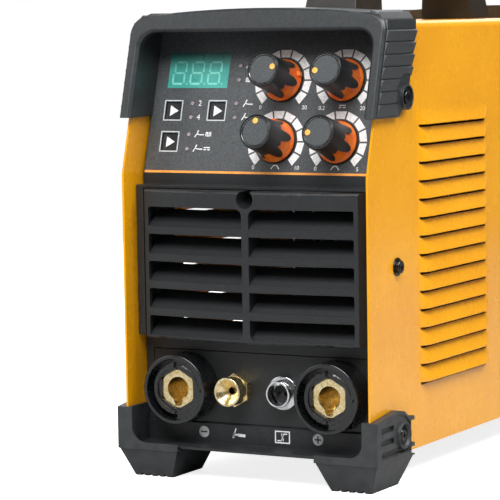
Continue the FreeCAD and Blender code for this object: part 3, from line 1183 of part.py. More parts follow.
def fan_housing():
    rear = REAR_BACK - TOL
    half = FAN / 2
    y0 = rear - FAN_DEPTH
    frame = box(-half, half, y0, rear, FAN_Z - half, FAN_Z + half)
    duct = rod(half - 2.0, (0, y0 - 1, FAN_Z), (0, rear + 1, FAN_Z))
    frame = frame.cut(duct)
    pockets = []
    for sx in (-1, 1):
        for sz in (-1, 1):
            x, z = sx * FAN_HOLES, FAN_Z + sz * FAN_HOLES
            pockets.append(rod(2.2, (x, y0 - 1, z), (x, rear + 1, z)))
    frame = frame.cut(Part.makeCompound(pockets))
    motor = rod(20.0, (0, y0, FAN_Z), (0, y0 + 6, FAN_Z))
    axle = rod(2.0, (0, y0 + 5, FAN_Z), (0, rear - 9.3, FAN_Z))
    arms = [prism_y([(-4, FAN_Z), (4, FAN_Z), (4, FAN_Z + half - 1), (-4, FAN_Z + half - 1)], y0, y0 + 4)]
    for i in (1, 2):
        arm = arms[0].copy()
        arm.rotate(V(0, 0, FAN_Z), V(0, 1, 0), 120 * i)
        arms.append(arm)
    return join([frame, motor, axle] + arms)


def fan_rotor():
    rear = REAR_BACK - TOL
    y0, y1 = rear - FAN_DEPTH + 8, rear - 7
    hub = rod(FAN_HUB_R, (0, y0, FAN_Z), (0, y1, FAN_Z))
    tip = FAN / 2 - 2.0 - FAN_TIP_GAP
    blades = []
    for i in range(FAN_BLADES):
        blade = polygon([(FAN_HUB_R - 1, y0 + 2, FAN_Z - 9), (FAN_HUB_R - 1, y1 - 2, FAN_Z + 9),
                         (FAN_HUB_R - 1, y1 - 2, FAN_Z + 11.5), (FAN_HUB_R - 1, y0 + 2, FAN_Z - 6.5)])
        blade = blade.extrude(V(tip - FAN_HUB_R, 0, 0))
        blade.rotate(V(0, 0, FAN_Z), V(0, 1, 0), i * 360 / FAN_BLADES)
        blades.append(blade)
    rotor = join([hub] + blades).common(rod(tip, (0, y0, FAN_Z), (0, y1, FAN_Z)))
    return rotor.cut(rod(2.0 + SHAFT_GAP, (0, y0 - 1, FAN_Z), (0, y1 - 2, FAN_Z)))


def fan_guard():
    y = REAR_FACE + TOL
    face = y + GUARD_T
    rings = [rod(r + 1.2, (0, y, FAN_Z), (0, face, FAN_Z)) for r in GUARD_RINGS]
    rings = [ring.cut(rod(r - 1.2, (0, y - 1, FAN_Z), (0, face + 1, FAN_Z)))
             for r, ring in zip(GUARD_RINGS, rings)]
    reach = GUARD_RINGS[-1] + 1
    spokes = [box(-1.6, 1.6, y, face, FAN_Z - reach, FAN_Z + reach),
              box(-reach, reach, y, face, FAN_Z - 1.6, FAN_Z + 1.6)]
    ears = [rod(5.0, (x, y, z), (x, face, z))
            for x in (-FAN_HOLES, FAN_HOLES) for z in (FAN_Z - FAN_HOLES, FAN_Z + FAN_HOLES)]
    arms = []
    for turn in (45, 135, 225, 315):
        arm = box(-2.5, 2.5, y, face, FAN_Z + 50, FAN_Z + 76)
        arm.rotate(V(0, 0, FAN_Z), V(0, 1, 0), turn)
        arms.append(arm)
    return join(rings + spokes + ears + arms)


# ---------------------------------------------------------------- fasteners
def side_screw(x_seat, y, z, side, length, head_r=SCREW_HEAD_R, washer=False):
    """Pan head screw driven inwards from the side; side is +1 on the right."""
    base = x_seat + (side * WASHER_T if washer else 0)
    head = rod(head_r, (base, y, z), (base + side * SCREW_HEAD_H, y, z))
    rim_x = base + side * SCREW_HEAD_H
    head = rounded(head, 0.9, lambda e: abs(e.CenterOfMass.x - rim_x) < 0.01)
    slot_x = rim_x - side * 1.0
    a, b = min(slot_x, rim_x + side), max(slot_x, rim_x + side)
    cross = box(a, b, y - 1.8, y + 1.8, z - 0.4, z + 0.4).fuse(box(a, b, y - 0.4, y + 0.4, z - 1.8, z + 1.8))
    head = head.cut(cross)
    shank = rod(SCREW_R, (base + side * 0.5, y, z), (x_seat - side * length, y, z))
    screw = head.fuse(shank)
    if not washer:
        return screw
    return join([rod(WASHER_R, (x_seat, y, z), (base, y, z)), screw])


def case_screws():
    screws = []
    for side in (-1, 1):
        for end in (FRONT, -FRONT):
            inward = 1 if end < 0 else -1
            y = end + inward * SIDE_SCREW_BACK
            screws.append(side_screw(side * (HALF_W + TOL), y, SIDE_SCREW_Z, side, SHEET + 0.4, washer=True))
            y = end + inward * HOOD_SCREW_BACK
            seat = side * (HALF_W + HOOD_OUT - HOOD_SEAT_IN + TOL)
            screws.append(side_screw(seat, y, HOOD_SCREW_Z, side, 6.0))
            y = end + inward * FOOT_SCREW_BACK
            seat = side * (HALF_W + FOOT_OUT - FOOT_SEAT_IN + TOL)
            screws.append(side_screw(seat, y, FOOT_SCREW_Z, side, SHEET + 3.2))
    y = PANEL_Y - TOL - 3.0 - TOL
    head = rod(SCREW_HEAD_R, (0, y - 2.0, GRILLE_SCREW_Z), (0, y, GRILLE_SCREW_Z))
    head = head.cut(box(-1.8, 1.8, y - 3, y - 1.1, GRILLE_SCREW_Z - 0.4, GRILLE_SCREW_Z + 0.4))
    shank = rod(1.6, (0, y - 0.5, GRILLE_SCREW_Z), (0, PANEL_Y + 9, GRILLE_SCREW_Z))
    screws.append(head.fuse(shank))
    for yb in handle_bolts():
        top = CASE_TOP - SHEET - TOL
        shank = rod(HANDLE_BOLT_R - TOL, (0, yb, top - 1), (0, yb, CASE_TOP + HANDLE_BOLT_LEN))
        screws.append(rod(5.0, (0, yb, top - 3.5), (0, yb, top)).fuse(shank))
    return Part.makeCompound([s for screw in screws for s in screw.Solids])


# ---------------------------------------------------------------- assembly
def nodes():
    foot = foot_right_front()
    hood = front_hood()
    made = {
        "cover_shell": cover_shell(), "base_tray": base_tray(),
        "front_hood": hood, "rear_hood": turned(hood),
        "foot_front_right": foot, "foot_front_left": mirrored_x(foot),
        "foot_rear_left": turned(foot), "foot_rear_right": turned(mirrored_x(foot)),
        "handle_body": handle_body(), "handle_underside": handle_underside(),
        "front_panel": front_panel(), "panel_overlay": panel_overlay(),
        "display_window": display_window(), "display_module": display_module(),
        "indicator_leds": indicator_leds(), "control_board": control_board(),
        "potentiometers": potentiometers(), "front_grille": front_grille(),
        "connector_plate": connector_plate(), "socket_nuts": socket_nuts(),
        "gas_outlet": gas_outlet(), "control_socket_shell": control_socket_shell(),
        "control_socket_core": control_socket_core(), "divider_plate": divider_plate(),
        "power_board": power_board(), "heatsinks": heatsinks(), "bus_capacitors": bus_capacitors(),
        "transformer": transformer(), "output_choke": output_choke(), "output_busbars": output_busbars(),
        "gas_valve": gas_valve(), "valve_plunger": valve_plunger(), "gas_hose": gas_hose(),
        "fan_housing": fan_housing(), "fan_rotor": fan_rotor(), "fan_guard": fan_guard(),
        "rear_panel": rear_panel(), "power_switch_body": power_switch_body(),
        "power_switch_rocker": power_switch_rocker(), "cable_gland": cable_gland(),
        "case_screws": case_screws(),
    }
    for name, x in (("negative", -SOCKET_X), ("positive", SOCKET_X)):
        made["socket_housing_" + name] = socket_housing(x)
        made["socket_insert_" + name] = socket_insert(x)
    for i in range(len(BUTTONS)):
        made[f"mode_button_{i + 1}"] = mode_button(i)
    for i in range(len(KNOBS)):
        made[f"knob_body_{i + 1}"] = knob_body(i)
        made[f"knob_skirt_{i + 1}"] = knob_skirt(i)
        made[f"pot_shaft_{i + 1}"] = pot_shaft(i)
    return made


def main():
    os.makedirs("parts", exist_ok=True)
    for name, shape in nodes().items():
        solids = shape.Solids
        bad = [s for s in solids if not s.isValid() or s.Volume <= 0]
        if bad or not solids:
            print("BAD", name, len(solids), len(bad))
        shape = solids[0] if len(solids) == 1 else Part.makeCompound(solids)
        shape.exportStep(f"parts/{name}.step")
        print(name, len(solids), round(sum(s.Volume for s in solids) / 1000, 1))


main()
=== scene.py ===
"""TIG welding machine: the finishes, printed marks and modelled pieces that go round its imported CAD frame.

Laid out as an add-on, so that each piece can be made again from the sidebar. Everything ends in metres, in
the frame of the CAD model: +X to the right of someone facing the front, +Y to the rear, +Z up. A piece is
modelled in millimetres about its own origin and then placed.
"""
import json
import math

import bmesh
import bpy
from bpy.props import FloatProperty, FloatVectorProperty, PointerProperty
from mathutils import Matrix, Vector

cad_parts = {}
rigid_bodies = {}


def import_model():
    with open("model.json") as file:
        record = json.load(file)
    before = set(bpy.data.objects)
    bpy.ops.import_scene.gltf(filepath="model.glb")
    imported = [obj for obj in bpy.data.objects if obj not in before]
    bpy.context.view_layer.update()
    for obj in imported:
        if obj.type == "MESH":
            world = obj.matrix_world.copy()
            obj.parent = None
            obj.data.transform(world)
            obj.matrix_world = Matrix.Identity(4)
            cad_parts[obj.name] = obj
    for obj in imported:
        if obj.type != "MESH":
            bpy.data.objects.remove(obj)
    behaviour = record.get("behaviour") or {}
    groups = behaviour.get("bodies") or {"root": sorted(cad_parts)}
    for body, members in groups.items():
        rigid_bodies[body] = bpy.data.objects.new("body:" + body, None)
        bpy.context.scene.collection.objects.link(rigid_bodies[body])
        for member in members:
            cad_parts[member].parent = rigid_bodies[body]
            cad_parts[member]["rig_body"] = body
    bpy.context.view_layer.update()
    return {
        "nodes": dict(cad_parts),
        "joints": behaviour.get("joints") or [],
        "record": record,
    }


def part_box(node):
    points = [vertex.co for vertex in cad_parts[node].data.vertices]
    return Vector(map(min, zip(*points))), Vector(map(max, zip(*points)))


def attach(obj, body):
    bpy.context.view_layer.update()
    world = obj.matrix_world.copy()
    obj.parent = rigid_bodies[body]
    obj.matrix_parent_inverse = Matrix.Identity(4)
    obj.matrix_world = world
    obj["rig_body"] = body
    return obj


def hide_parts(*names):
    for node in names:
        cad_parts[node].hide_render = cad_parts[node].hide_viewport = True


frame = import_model()

bl_info = {
    "name": "TIG welding machine",
    "version": (1, 0, 0),
    "blender": (4, 5, 0),
    "location": "3D View > Sidebar > Welder",
    "description": "Finishes and modelled pieces of a TIG welding machine",
    "category": "Object",
}

MM = 0.001
NODES = frame["nodes"]
JOINTS = {joint["name"]: joint for joint in frame["joints"]}
SLOT_OF = {part["node"]: part["material_slot"] for part in frame["record"]["subparts"]}
MAIN_BODY = "machine"

# The leaning control panel: x across, v up its slope, h out of its face
PANEL_OUT = Vector(JOINTS["knob_1_turn"]["axis"])
PANEL_UP = Vector((0, PANEL_OUT.z, -PANEL_OUT.y))
OVERLAY_T = 0.4 * MM
OVERLAY_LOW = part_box("panel_overlay")[0]
PANEL_AT = Vector((0, OVERLAY_LOW.y, OVERLAY_LOW.z + OVERLAY_T * PANEL_OUT.z))
PANEL_HALF_W = -OVERLAY_LOW.x / MM
PRINT_H = 0.03          # height of printed ink above its face, mm
PRINT_T = 0.05          # thickness of printed ink, mm
LINE_V = 0.85           # middle of the orange line, up the slope from the label's foot, mm
LINE_W = 1.3            # its width, mm
LINE_SHORT = 0.4        # how much shorter it is than the label, mm

# Knobs: middle on the panel, mm, and where each pointer rests, degrees from +x
KNOBS = ((8.0, 53.2, 15.0), (46.0, 53.2, 187.0), (8.0, 18.6, 96.0), (46.0, 18.6, 183.0))
KNOB_SIDES = 96         # faces round a knob's pieces
DOT_SIDES = 24
# Outlines of a knob's pieces, (radius, height above the panel) in mm
SHELL_OUTLINE = (
    (7.6, 3.1), (11.5, 3.1), (11.55, 3.4), (10.75, 6.0), (10.15, 9.0), (9.95, 12.0), (9.75, 16.0),
    (9.7, 24.0), (9.55, 24.6), (9.2, 25.0), (8.9, 24.95), (8.75, 24.6), (8.75, 23.9), (7.6, 23.9))
SKIRT_OUTLINE = (
    (7.5, 0.8), (11.6, 0.8), (11.75, 1.0), (11.75, 1.6), (11.5, 1.75), (11.45, 2.6), (11.0, 2.9),
    (10.3, 6.0), (9.8, 8.5), (9.5, 11.0), (9.35, 13.0), (7.5, 13.0))
DISC_OUTLINE = ((7.65, 23.8), (7.65, 24.45), (7.5, 24.6), (4.0, 24.66))
TRIM_OUTLINE = (
    (8.05, 23.8), (8.45, 23.8), (8.45, 24.75), (8.35, 24.9), (8.15, 24.9), (8.05, 24.75), (8.05, 23.8))
DOT_OUTLINE = ((1.6, 24.4), (1.6, 24.85), (1.35, 25.0))
DOT_OUT = 6.0           # dot's middle from the knob's, mm
POINTER_AT = (11.3, 0, 2.4)     # lug on the skirt that points at the scale: middle and half sizes, mm
POINTER_HALF = (0.9, 1.3, 1.6)
PETALS = 6
# Gap between two petals, (half width, height above the panel) in mm, from its top down
GAP_OUTLINE = (
    (1.9, 12.4), (2.1, 10.6), (2.4, 9.0), (2.8, 7.4), (3.4, 6.0), (4.2, 4.9), (5.1, 4.2), (5.75, 3.9),
    (5.9, 2.0))
GAP_NOTCH = 1.4         # how far the middle of its top is drawn down, mm
GAP_FROM = 8.7          # where the cut starts, from the knob's middle, mm
GAP_THROUGH = 7         # how far out it goes from there, mm

# Scale printed round a knob
SCALE_HALF = 128.0      # degrees from the top of a knob's scale to each end of it
SCALE_MARKS = 11
MARK_FOOT = 5.0         # width of a mark at its inner end, mm
MARK_FLARE = 1.36       # how many times wider it is at its outer end
# Dark ring round each skirt, between it and the scale: partly a printed ring, partly the knob's shadow
# painted in black
RING_OUTLINE = ((11.0, 0.0), (12.7, 0.0), (12.7, PRINT_T), (11.0, PRINT_T), (11.0, 0.0))

# Keys: middle of each on the panel, mm
BUTTONS = ((-59.7, 36.0), (-31.6, 36.0), (-59.7, 18.1))
FRAME_W, FRAME_LINE, FRAME_CORNER = 11.9, 0.65, 0.4     # printed frame: side, line and cut of its corners
KEY_HALF = (4.65, 4.65, 1.4)    # half sizes of a key
KEY_H = -1.95           # height of its middle, from the label's face
KEY_RIM, KEY_DISH = 0.9, -0.35  # width of its rim and height of its dished middle, from the rim
ARROW_R = 3.6           # triangle on a key: radius round its corners
ARROW_CORNER = 0.2      # how far its corners are cut back
ARROW_SHIFT = -0.6      # its middle, to the right of the key's
ARROW_H = -0.9          # its height, from the label's face

# Display: its window on the panel, x from and to, v from and to, mm
WINDOW = (-65.3, -26.8, 48.9, 69.4)
DIGIT_W, DIGIT_H = 7.2, 12.4    # between the middles of opposite outer bars, across and up
DIGIT_LINE = 1.2        # width of a bar
DIGIT_GAP = 1.1         # how much shorter a bar is than its side of the figure
DIGIT_LEAN = 0.12       # shift to the right for each millimetre up
DIGIT_PITCH = 11.3      # from one digit to the next
DIGIT_SHIFT = (-1.0, -1.6)      # middle digit's middle, from the window's
DIGIT_RISE = 0.01       # height of the digits above the label's face
DIGIT_T = 0.03          # their thickness
POINT_R = 0.55          # radius of a decimal point
POINT_OUT = 1.6         # its middle, to the right of the right-hand bars'

# Front, in mm
NODE_FRONT = -200.0     # cover's front edge
SILL_FACE = 18.0        # upright face under the connectors, behind that edge
SIGN_Z = 25.1           # middle of the signs on it
SIGN_DISC_R = 3.2       # grey disc under the minus and the plus
DISC_LINE = 0.8         # and the width of the strokes on it


# ------------------------------------------------------------------ places
def panel_place(x=0.0, v=0.0, h=0.0, turn=0.0):
    """From a piece's own millimetres, x right, y up the slope and z out, to metres on the panel."""
    axes = Matrix((Vector((1, 0, 0)), PANEL_UP, PANEL_OUT)).transposed().to_4x4()
    local = Matrix.Translation((x, v, h)) @ Matrix.Rotation(turn, 4, "Z")
    return Matrix.Translation(PANEL_AT) @ axes @ Matrix.Scale(MM, 4) @ local


def sill_place(x):
    """From a sign's own millimetres, x right and y up, to metres on the upright face below the connectors."""
    at = Matrix.Translation((x * MM, (NODE_FRONT + SILL_FACE - PRINT_H) * MM, SIGN_Z * MM))
    return at @ Matrix.Rotation(math.pi / 2, 4, "X") @ Matrix.Scale(MM, 4)


# ------------------------------------------------------------------ modelling
def forget(name):
    """Removes an earlier piece of this name, so that an operator can be run again."""
    if bpy.data.objects.get(name):
        bpy.data.objects.remove(bpy.data.objects[name])


def clear_for(name):
    """Leaves edit mode, removes an earlier piece of this name and deselects everything."""
    if bpy.context.mode != "OBJECT":
        bpy.ops.object.mode_set(mode="OBJECT")
    forget(name)
    bpy.ops.object.select_all(action="DESELECT")


def start(name, kind, **options):
    """Adds a primitive, in millimetres about the origin, and opens it for editing, all selected."""
    clear_for(name)
    getattr(bpy.ops.mesh, f"primitive_{kind}_add")(**options)
    piece = bpy.context.object
    piece.name = piece.data.name = name
    bpy.ops.object.mode_set(mode="EDIT")
    return piece


def add(kind, move=(0, 0, 0), scale=(1, 1, 1), **options):
    """Adds another primitive to the mesh being edited, sized and moved, and leaves only it selected."""
    bpy.ops.mesh.select_all(action="DESELECT")
    getattr(bpy.ops.mesh, f"primitive_{kind}_add")(**options)
    shift_and_scale(move, scale)


def shift_and_scale(move=(0, 0, 0), scale=(1, 1, 1)):
    """Sizes what is selected about the origin and then moves it."""
    bpy.ops.transform.resize(value=scale, center_override=(0, 0, 0))
    bpy.ops.transform.translate(value=move)


def pick(piece, test, kind="FACE"):
    """Selects the faces, edges or vertices whose place and normal, or direction, the test accepts."""
    bpy.ops.mesh.select_mode(type=kind)
    bpy.ops.mesh.select_all(action="DESELECT")
    shape = bmesh.from_edit_mesh(piece.data)
    if kind == "FACE":
        found = [f for f in shape.faces if test(f.calc_center_median(), f.normal)]
    elif kind == "EDGE":
        ends = [(e, e.verts[0].co, e.verts[1].co) for e in shape.edges]
        found = [e for e, a, b in ends if test((a + b) / 2, (b - a).normalized())]
    else:
        found = [v for v in shape.verts if test(v.co, v.normal)]
    for item in found:
        item.select_set(True)
    shape.select_flush_mode()
    bmesh.update_edit_mesh(piece.data)


def turned(name, profile, sides=64):
    """A solid of revolution about Z: a ring is extruded from each (radius, height) to the next."""
    (radius, height), *steps = profile
    piece = start(name, "circle", vertices=sides, radius=radius, fill_type="NOTHING")
    bpy.ops.transform.translate(value=(0, 0, height))
    for next_radius, next_height in steps:
        bpy.ops.mesh.extrude_edges_move(TRANSFORM_OT_translate={"value": (0, 0, next_height - height)})
        ratio = next_radius / radius
        bpy.ops.transform.resize(value=(ratio, ratio, 1), center_override=(0, 0, next_height))
        radius, height = next_radius, next_height
    tidy_mesh()
    bpy.ops.mesh.fill_holes(sides=0)
    bpy.ops.mesh.normals_make_consistent(inside=False)
    return piece


def repeat_round(number, step):
    """Repeats what is selected about Z, so many in all, each a step of some degrees from the last."""
    bpy.ops.mesh.spin(steps=number - 1, angle=math.radians((number - 1) * step), center=(0, 0, 0),
                      axis=(0, 0, 1), dupli=True)


def tidy_mesh():
    """Merges the vertices that lie together and turns every face outwards."""
    bpy.ops.mesh.select_all(action="SELECT")
    bpy.ops.mesh.remove_doubles(threshold=0.0005)
    bpy.ops.mesh.normals_make_consistent(inside=False)


def modify(piece, kind, **settings):
    """Adds a modifier with these settings and applies it."""
    bpy.ops.object.mode_set(mode="OBJECT")
    bpy.context.view_layer.objects.active = piece
    modifier = piece.modifiers.new(kind.title(), kind)
    for name, value in settings.items():
        setattr(modifier, name, value)
    bpy.ops.object.modifier_apply(modifier=modifier.name)
    bpy.ops.object.mode_set(mode="EDIT")


def soften(piece, width, segments=2, angle=30):
    """Rounds the edges that are sharper than an angle, in degrees."""
    modify(piece, "BEVEL", width=width, segments=segments, limit_method="ANGLE",
           angle_limit=math.radians(angle), use_clamp_overlap=True)


def cut(piece, tool):
    """Takes the tool out of a piece and removes the tool, whose own solids may overlap."""
    modify(piece, "BOOLEAN", object=tool, operation="DIFFERENCE", solver="EXACT", use_self=True)
    bpy.data.objects.remove(tool)


def place(piece, matrix, material, body=MAIN_BODY, stands_for=(), smooth=32):
    """Closes the edit, puts the piece's place in its mesh, and gives it its finish and its body."""
    tidy_mesh()
    bpy.ops.object.mode_set(mode="OBJECT")
    bpy.ops.object.select_all(action="DESELECT")
    piece.select_set(True)
    bpy.context.view_layer.objects.active = piece
    piece.matrix_world = matrix
    bpy.ops.object.transform_apply(location=True, rotation=True, scale=True)
    bpy.ops.object.shade_smooth_by_angle(angle=math.radians(smooth))
    flat_first = piece.modifiers.new("Weighted", "WEIGHTED_NORMAL")
    flat_first.keep_sharp = True
    bpy.ops.object.modifier_apply(modifier=flat_first.name)
    piece.data.materials.clear()
    piece.data.materials.append(bpy.data.materials[material])
    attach(piece, body)
    if stands_for:
        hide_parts(*stands_for)
    return piece


def softened(node, width, material=None):
    """A copy of a CAD node, its loose triangles joined up and its edges rounded by a width in millimetres."""
    name = node + "_finished"
    clear_for(name)
    piece = bpy.data.objects.new(name, NODES[node].data.copy())
    bpy.context.scene.collection.objects.link(piece)
    piece.data.transform(Matrix.Scale(1 / MM, 4))
    piece.select_set(True)
    bpy.context.view_layer.objects.active = piece
    bpy.ops.object.mode_set(mode="EDIT")
    bpy.ops.mesh.select_all(action="SELECT")
    bpy.ops.mesh.remove_doubles(threshold=0.002)
    bpy.ops.mesh.customdata_custom_splitnormals_clear()
    if width:
        modify(piece, "BEVEL", width=width, segments=2, limit_method="ANGLE",
               angle_limit=math.radians(30), use_clamp_overlap=False, loop_slide=False)
    slot = SLOT_OF[node]
    body = NODES[node]["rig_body"]
    return place(piece, Matrix.Scale(MM, 4), material or slot, body, [node])


# ------------------------------------------------------------------ materials
def linear(code):
    """sRGB hex, such as "#EFAA2D", to linear RGBA."""
    channels = [int(code[i:i + 2], 16) / 255 for i in (1, 3, 5)]
    return [c / 12.92 if c <= 0.04045 else ((c + 0.055) / 1.055) ** 2.4 for c in channels] + [1.0]


def add_node(tree, kind, inputs=None, **settings):
    """Adds a node with its settings; inputs maps a socket to a value or to the output that feeds it."""
    made = tree.nodes.new(kind)
    for name, value in settings.items():
        setattr(made, name, value)
    for key, value in (inputs or {}).items():
        if isinstance(value, bpy.types.NodeSocket):
            tree.links.new(value, made.inputs[key])
        else:
            made.inputs[key].default_value = value
    return made


TONES_AT = (0.35, 0.65)     # levels of the patches where a finish turns from its first tone to its second
GRAIN_LEVELS = (0.3, 0.7)   # levels of the grain between which the roughness goes from its least to its most


def surface(name, tones, patch_mm, grain_mm, height_mm, rough, pattern="ShaderNodeTexNoise", **values):
    """A finish: two tones over patches of a real size, and a grain that bumps it and varies its gloss.

    Returns its shader, whose id_data is the node tree; values are set on the shader's own sockets.
    """
    old = bpy.data.materials.get(name)
    if old:
        bpy.data.materials.remove(old)
    material = bpy.data.materials.new(name)
    material.use_nodes = True
    tree = material.node_tree
    tree.nodes.clear()
    spot = add_node(tree, "ShaderNodeTexCoord").outputs["Object"]
    patch = add_node(tree, pattern, {"Vector": spot, "Scale": 1 / (patch_mm * MM)})
    ramp = add_node(tree, "ShaderNodeValToRGB", {0: patch.outputs[0]})
    for element, at, tone in zip(ramp.color_ramp.elements, TONES_AT, tones):
        element.position = at
        element.color = tone if len(tone) == 4 else linear(tone)
    grain = add_node(tree, "ShaderNodeTexNoise",
                     {"Vector": spot, "Scale": 1 / (grain_mm * MM), "Detail": 3.0})
    gloss = add_node(tree, "ShaderNodeMapRange", {
        0: grain.outputs[0], 1: GRAIN_LEVELS[0], 2: GRAIN_LEVELS[1], 3: rough[0], 4: rough[1]})
    bump = add_node(tree, "ShaderNodeBump", {"Height": grain.outputs[0], "Distance": height_mm * MM})
    shader = add_node(tree, "ShaderNodeBsdfPrincipled", {
        "Base Color": ramp.outputs[0], "Normal": bump.outputs[0], "Roughness": gloss.outputs[0]})
    for socket, value in values.items():
        shader.inputs[socket.replace("_", " ")].default_value = value
    add_node(tree, "ShaderNodeOutputMaterial", {"Surface": shader.outputs[0]})
    return shader


def paint_shadow_upwards(shader, most=0.85):
    """Painted shadow of the hood: fades a display's colour darker from mid height to its top edge."""
    tree = shader.id_data
    low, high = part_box("display_window")
    spot = add_node(tree, "ShaderNodeTexCoord").outputs["Object"]
    height = add_node(tree, "ShaderNodeSeparateXYZ", {0: spot}).outputs[2]
    fade = add_node(tree, "ShaderNodeMapRange", {
        0: height, 1: low.z + 0.5 * (high.z - low.z), 2: high.z, 3: 0.0, 4: most})
    # Colour of the painted shadow
    dark = add_node(tree, "ShaderNodeMix", {0: fade.outputs[0], 7: linear("#0B1A1A")}, data_type="RGBA")
    tree.links.new(shader.inputs["Base Color"].links[0].from_socket, dark.inputs[6])
    tree.links.new(dark.outputs[2], shader.inputs["Base Color"])


def make_finishes(colours):
    """One material for each slot of the record, and the printing inks."""
    # Powder coat, baked on sheet steel: bright and glossy, with the faint waviness of orange peel
    surface("orange_paint", (colours.paint_dark, colours.paint_light), 70, 9.0, 0.0003, (0.26, 0.28),
            IOR=1.5, Coat_Weight=0.35, Coat_Roughness=0.1)
    # Hot-dip galvanised sheet: grey zinc with crystals about 8 mm across
    surface("galvanised_steel", ("#8C9092", "#B4B8BA"), 8, 1.5, 0.01, (0.35, 0.5),
            "ShaderNodeTexVoronoi", Metallic=1.0)
    # Moulded ABS with a spark-eroded grain: near black, the grain breaks its highlights up
    surface("black_plastic", (colours.moulding_dark, colours.moulding_light), 1.2, 0.7, 0.03,
            (0.4, 0.52), IOR=1.53)
    # The same ABS with a coarser texture on the corner guards: charcoal, it scatters more light
    surface("guard_plastic", (colours.guard_dark, colours.guard_light), 2.0, 0.8, 0.04,
            (0.34, 0.44), IOR=1.53)
    # Polished glass-filled nylon of the sockets: black with sharp highlights
    surface("socket_nylon", ("#0E0F11", "#16181A"), 3, 1.2, 0.006, (0.2, 0.3), IOR=1.53, Coat_Weight=0.25)
    # Moulded ABS of the handle: brownish black, worn a little smoother
    surface("handle_plastic", ("#151413", "#1F1D1B"), 4, 0.9, 0.03, (0.36, 0.48), IOR=1.53)
    # Thermoplastic rubber, moulded: darker and duller than the housing
    surface("soft_rubber", ("#17181A", "#222426"), 2, 0.5, 0.03, (0.65, 0.8), IOR=1.5)
    # Moulded PVC of the feet: satin, slightly lighter where it has been handled
    surface("foot_rubber", ("#292C2E", "#343739"), 6, 0.8, 0.03, (0.42, 0.56), IOR=1.5)
    # Polycarbonate label, printed from behind: dark grey with a fine even speckle
    surface("grey_overlay", (colours.overlay_dark, colours.overlay_light), 0.9, 0.5, 0.01,
            (0.38, 0.5), IOR=1.58)
    # Tinted clear polycarbonate window: teal, as its lit digits shine through it
    # Darker towards its top edge: the hood's shadow, painted into its colour
    paint_shadow_upwards(surface("display_window", ("#3F9D92", "#4FB0A4"), 16, 6.0, 0.002, (0.25, 0.35), IOR=1.58))
    # Glass-filled ABS of the display behind the window: plain dark
    surface("display_module", ("#101214", "#1A1C1E"), 3, 1.0, 0.01, (0.4, 0.5), IOR=1.5)
    # Diffusing epoxy of an unlit lamp: milky, greyish pink
    surface("led_lens", ("#857C80", "#A1979B"), 1.5, 0.6, 0.004, (0.2, 0.3), IOR=1.5, Coat_Weight=0.4)
    # Glass epoxy board under solder mask: green, with the weave just showing
    surface("circuit_board", ("#0F3D22", "#1C5A34"), 2.5, 0.8, 0.02, (0.3, 0.45),
            "ShaderNodeTexVoronoi", IOR=1.55)
    # Screws under black oxide: dark, with pale glints on the edges
    surface("black_oxide", ("#2A2A2C", "#4A4A4C"), 2, 0.5, 0.01, (0.2, 0.34), Metallic=1.0)
    # Zinc-plated steel: bright, slightly bluish, with fine drawn marks
    surface("steel", ("#A9ADB2", "#CDD0D4"), 3, 0.6, 0.01, (0.22, 0.36), Metallic=1.0)
    # Nickel-plated spring wire: bright and smooth
    surface("steel_wire", ("#B6B8BA", "#D8DADC"), 5, 0.8, 0.004, (0.15, 0.25), Metallic=1.0)
    # Turned brass: warm yellow, with tool marks that scatter the light
    surface("brass", ("#E0C585", "#FAEBC2"), 1.6, 0.35, 0.012, (0.18, 0.32), Metallic=1.0)
    # Chromed die-casting: mirror bright, grey in its hollows
    surface("chrome", ("#B9BBBD", "#E6E7E8"), 4, 0.8, 0.004, (0.08, 0.16), Metallic=1.0)
    # Glass-filled nylon insert: plain dull black
    surface("black_insert", ("#0E0F10", "#191A1C"), 2, 0.5, 0.01, (0.5, 0.6), IOR=1.53)
    # Extruded aluminium: pale, with a satin skin
    surface("aluminium", ("#B7B9BB", "#CFD1D3"), 12, 0.6, 0.01, (0.3, 0.42), Metallic=1.0)
    # Heat-shrunk PVC sleeve: dark blue and shiny
    surface("capacitor_sleeve", ("#16243C", "#203355"), 10, 2.0, 0.01, (0.22, 0.3), IOR=1.54)
    # Sintered ferrite under varnish: dark grey, gritty
    surface("ferrite", ("#2B2B2C", "#3E3D3C"), 1.5, 0.6, 0.05, (0.5, 0.7), IOR=1.6)
    # Rolled copper bar: salmon, clouded with handling
    surface("copper", ("#B5643A", "#D98A5E"), 9, 0.8, 0.008, (0.25, 0.4), Metallic=1.0)
    # Extruded rubber hose: black, dull
    surface("hose_rubber", ("#131415", "#1F2021"), 3, 0.7, 0.02, (0.55, 0.7), IOR=1.5)
    # Textured black powder coat: fine leathery pimples
    surface("black_paint", ("#17181A", "#242628"), 1.5, 0.9, 0.06, (0.45, 0.6), IOR=1.5)
    # Polished nylon of the switch body: glossy black
    surface("black_gloss", ("#0C0D0E", "#151617"), 6, 2.0, 0.004, (0.18, 0.25), IOR=1.53, Coat_Weight=0.3)
    # Polished red nylon of the rocker: bright signal red
    surface("rocker_red", ("#B01A12", "#CF2A1C"), 6, 2.0, 0.004, (0.2, 0.28), IOR=1.53, Coat_Weight=0.3)
    # Moulded nylon of the gland: satin black
    surface("nylon_black", ("#141516", "#202224"), 2, 0.8, 0.01, (0.38, 0.5), IOR=1.53)
    # Silicone keys: near black, dull
    surface("dark_key", ("#1B1D1F", "#2A2D2F"), 1.5, 0.5, 0.01, (0.5, 0.6), IOR=1.43)
    # Satin ABS of the knobs: black, smoother than the housing
    surface("knob_black", ("#141516", "#1E2022"), 1.5, 0.6, 0.012, (0.32, 0.42), IOR=1.53)
    # Spun aluminium disc under grey lacquer on a knob's cap: fine grain
    surface("knob_disc", ("#363A3C", "#474B4D"), 0.7, 0.4, 0.01, (0.4, 0.52), IOR=1.5)
    # Bare edge of that disc, turned bright
    surface("disc_edge", ("#8C9092", "#B4B8BA"), 2, 0.4, 0.004, (0.2, 0.3), Metallic=1.0)
